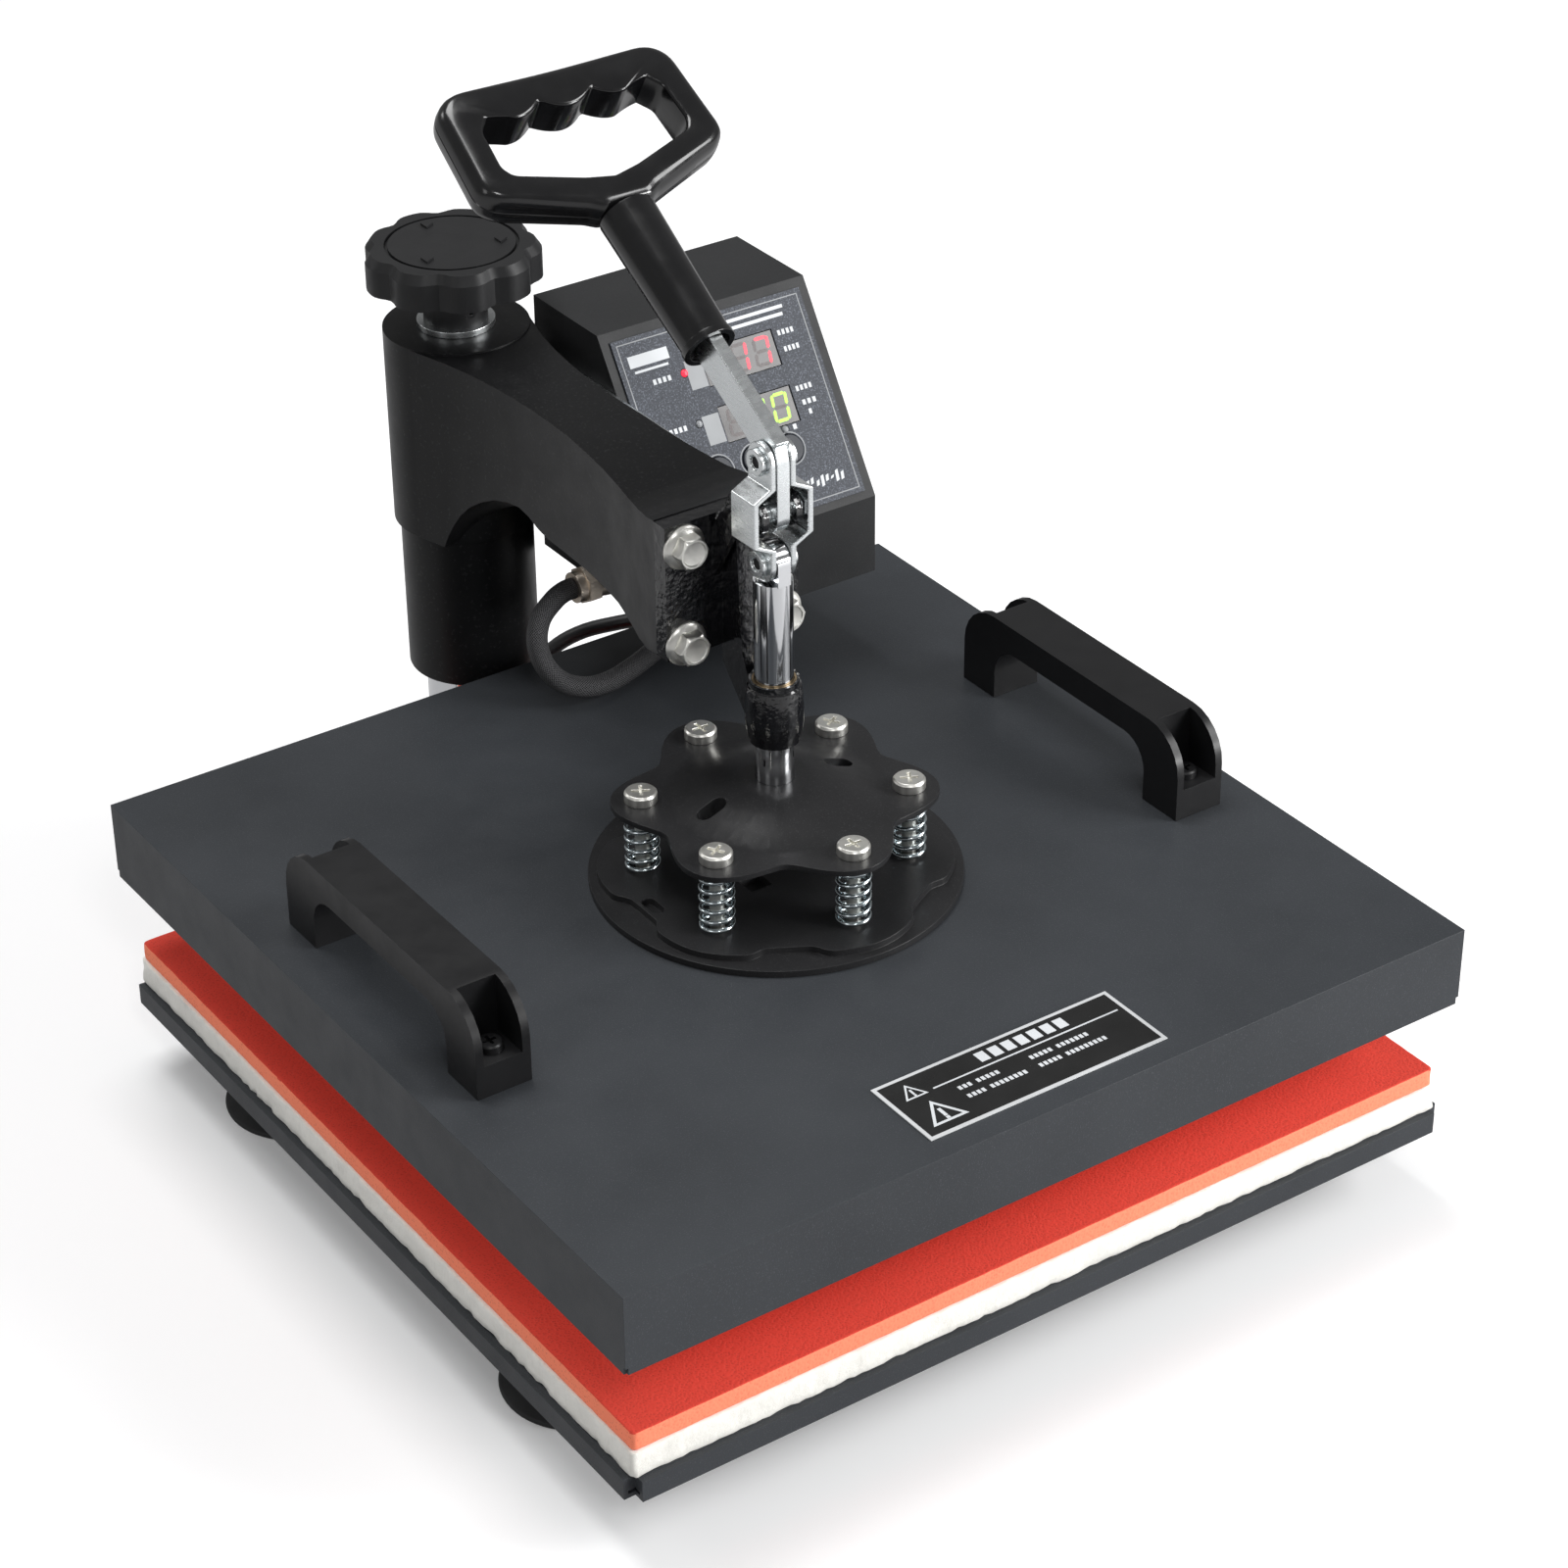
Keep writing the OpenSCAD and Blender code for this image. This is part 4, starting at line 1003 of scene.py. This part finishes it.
def make_rivet_shade_discs():
    """A black dished disc in the end of each of the toggle's four rivets: painted shade standing in
    for the hollow there.
    """
    low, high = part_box("link_pins")
    middle_y = (low.y + high.y) / 2
    for i, (x, side) in enumerate(((low.x + SHADE_DISC_INSET * MM, -1), (high.x - SHADE_DISC_INSET * MM, 1))):
        for j, z in enumerate((low.z + RIVET_R * MM, high.z - RIVET_R * MM)):
            name = "rivet_shade_disc_%d%d" % (i, j)
            mesh = surface_of_rings(name, [ring_at(r, h, 32) for r, h in SHADE_DISC_PROFILE])
            smooth(mesh, 40)
            mesh.transform(turned_at((x, middle_y, z), side * math.pi / 2, "Y"))
            add_object(name, mesh, BASE_PAINT, "links")


# ---- Loop handle, drawn in the lever's own frame ----

LEVER_BEND = (-6, 194)  # y and z of the lever bar's bend
LEVER_SLOPE = 31.5
LOOP_W = 112
LOOP_MIDDLE = (0, 152)
LOOP_STEPS = 360
GROOVE_STEPS, GROOVE_DEPTH = 49, 5.4
LOOP_SECTION = (  # which outline, how far out of it, height: the upper half of the moulding
    ("far", -0.35, 0.0), ("far", 0, 0.4), ("far", -0.3, 3.6), ("far", -0.8, 5.6),
    ("far", -1.9, 7.4), ("far", -3.4, 8.5), ("far", -5.2, 9.0), ("near", 1.7, 9.0),
    ("near", 0.8, 8.75), ("near", 0.2, 8.1), ("near", 0, 7.3), ("near", 0.1, 0.3),
)


def reach_to(outline, angle):
    """How far the outline is from the loop's middle in one direction."""
    dx, dy = math.cos(angle), math.sin(angle)
    points = [(x - LOOP_MIDDLE[0], y - LOOP_MIDDLE[1]) for x, y in outline]
    best = 0
    for (x0, y0), (x1, y1) in zip(points, points[1:] + points[:1]):
        across = dx * (y1 - y0) - dy * (x1 - x0)
        if abs(across) < 1e-9:
            continue
        along = (x0 * (y1 - y0) - y0 * (x1 - x0)) / across
        share = (x0 * dy - y0 * dx) / across
        if along > 0 and -1e-9 <= share <= 1 + 1e-9:
            best = max(best, along)
    return best


def softened(values, width=2):
    """The running mean of values that lie in a circle."""
    n = len(values)
    span = range(-width, width + 1)
    return [sum(values[(i + k) % n] for k in span) / len(span) for i in range(n)]


def make_loop():
    """The moulded loop: broad rounded shoulders, a parting line and four finger grooves."""
    half = LOOP_W / 2
    outer = ([(11, 118), (16, 121), (half - 5, 134)] + arc(half - 8, 143, 9, -35, 0, 3)
             + arc(half - 13, 176, 12, 0, 90, 5) + arc(-half + 13, 176, 12, 90, 180, 5)
             + arc(-half + 8, 143, 9, 180, 215, 3) + [(-half + 5, 134), (-16, 121), (-11, 118)])
    grooves = [(36 - 1.5 * i,
                173.4 - GROOVE_DEPTH * abs(math.sin(math.radians(11.25 * i))) ** 0.9)
               for i in range(GROOVE_STEPS)]
    inner = ([(0, 131.5), (12, 134), (half - 16, 143), (half - 13, 148), (half - 14, 166)]
             + grooves
             + [(-half + 14, 166), (-half + 13, 148), (-half + 16, 143), (-12, 134)])
    angles = [2 * math.pi * i / LOOP_STEPS for i in range(LOOP_STEPS)]
    reaches = {"far": softened([reach_to(outer, a) for a in angles]),
               "near": softened([reach_to(inner, a) for a in angles])}
    section = list(LOOP_SECTION) + [(side, out, -z) for side, out, z in LOOP_SECTION[:0:-1]]
    middle_x, middle_y = LOOP_MIDDLE
    rings = [[(middle_x + (r + out) * math.cos(a), middle_y + (r + out) * math.sin(a), z)
              for r, a in zip(reaches[side], angles)] for side, out, z in section + section[:1]]
    mesh = surface_of_rings("loop", rings, (False, False))
    shape = bmesh.new()
    shape.from_mesh(mesh)
    bmesh.ops.remove_doubles(shape, verts=shape.verts, dist=1e-5)
    bmesh.ops.recalc_face_normals(shape, faces=shape.faces)
    shape.to_mesh(mesh)
    shape.free()
    smooth(mesh, 38)
    mesh.transform(frame_at(at(0, *LEVER_BEND), LEVER_SLOPE))
    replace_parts(add_object("loop", mesh, GLOSS_BLACK, "lever"), "loop_handle")


# ---- The scene ----

make_camera()
set_view()
make_world()
make_floor()
area_light("key", (2.1, -1.7, 1.9), (0.0, -0.05, 0.12), (1.5, 1.5), 66)
area_light("top", (-0.15, 0.75, 2.5), (0, 0, 0.1), (1.3, 1.3), 40)
area_light("left", (-2.0, -0.5, 1.15), (-0.15, 0, 0.1), (0.7, 0.9), 4)
area_light("low_front", (1.5, -1.9, 0.5), (0.1, -0.2, 0.1), (0.8, 0.4), 36)
area_light("front_glint", (-0.9, -2.0, 2.0), (0, 0, 0.2), (0.35, 0.35), 9)
area_light("edge", (-1.6, 2.3, 1.7), (0, 0, 0.15), (0.7, 0.7), 7)

lead, lead_path, lead_length = make_lead()
make_relief()

# CAD nodes that keep their shape
for name, material, bevel in (
    ("spine_plate", BASE_PAINT, 0.8), ("front_crossbar", BASE_PAINT, 1.2),
    ("rear_crossbar", BASE_PAINT, 1.2), ("rubber_feet", RUBBER, 0.8), ("foot_screws", ZINC, 0.4),
    ("post_flange", BASE_PAINT, 1.0), ("post", CHROME, 0.8), ("post_nut", BRONZE, 0.4),
    ("post_bolts", ZINC, 0.4), ("lower_tray", GREY_PAINT, 0.4), ("filler_board", BOARD, 0.4),
    ("tray_bolts", ZINC, 0.4), ("lift_sleeve", BRONZE, 0.4), ("thrust_washer", ZINC, 0.3),
    ("spindle", ZINC, 0.4), ("knob_set_screw", BASE_PAINT, 0.2), ("arm_casting", BLACK_CAST, 2.4),
    ("column_tube", BLACK_CAST, 0.8), ("column_bushes", NYLON, 0.3), ("head_bracket", WRINKLE, 1.4),
    ("guide_bush", BRONZE, 0.3), ("fulcrum_pin", ZINC, 0.4),
    ("box_bracket", ZINC, 0.4), ("box_shell", BOX_PAINT, 1.6), ("box_back", BOX_PAINT, 0.3),
    ("control_panel", FILM, 0.15), ("circuit_board", CIRCUIT, 0.2), ("transformer", WINDINGS, 0.5),
    ("cable_gland", NICKEL, 0.4), ("rocker_switch", GLOSS_BLACK, 0.5), ("button_1", BUTTON, 0.5),
    ("button_2", BUTTON, 0.5), ("button_3", BUTTON, 0.5), ("button_4", BUTTON, 0.5),
    ("mains_plug", RUBBER, 1.2), ("lever_bar", ZINC, 0.7),
    ("grip_tube", GLOSS_BLACK, 0.7), ("toggle_links", ZINC, 0.6), ("link_pins", ZINC, 0.5),
    ("plunger_shaft", CHROME, 0.6), ("dome_plate", PLATE_BLACK, 0.5),
    ("pressure_plates", PLATE_BLACK, 0.5), ("float_bolts", BOLT_ZINC, 0.35),
    ("platen_cover", GREY_PAINT, 1.1), ("insulation_board", MINERAL, 0.5),
    ("heating_plate", CAST_ALUMINIUM, 0.5), ("side_handles", HANDLE_BLACK, 1.0),
    ("hose_inlet", RUBBER, 1.0), ("displays", SMOKED, 0.2), ("label_plate", LABEL_SILVER, 0.1),
    ("knob", KNOB_BLACK, 1.5),
):
    dress(name, material, bevel)

make_springs()
make_hose()
make_flange_bolts()
make_rivet_shade_discs()
make_loop()
soft_slab("red_pad", "silicone_pad", 0.5, 0.25, SILICONE, 3, SILICONE_CUT_AND_LIT_SIDES)
soft_slab("white_pad", "felt_pad", 0.9, 1.1, FELT, 8)
make_panel_print()
make_label()
make_handle_screws()
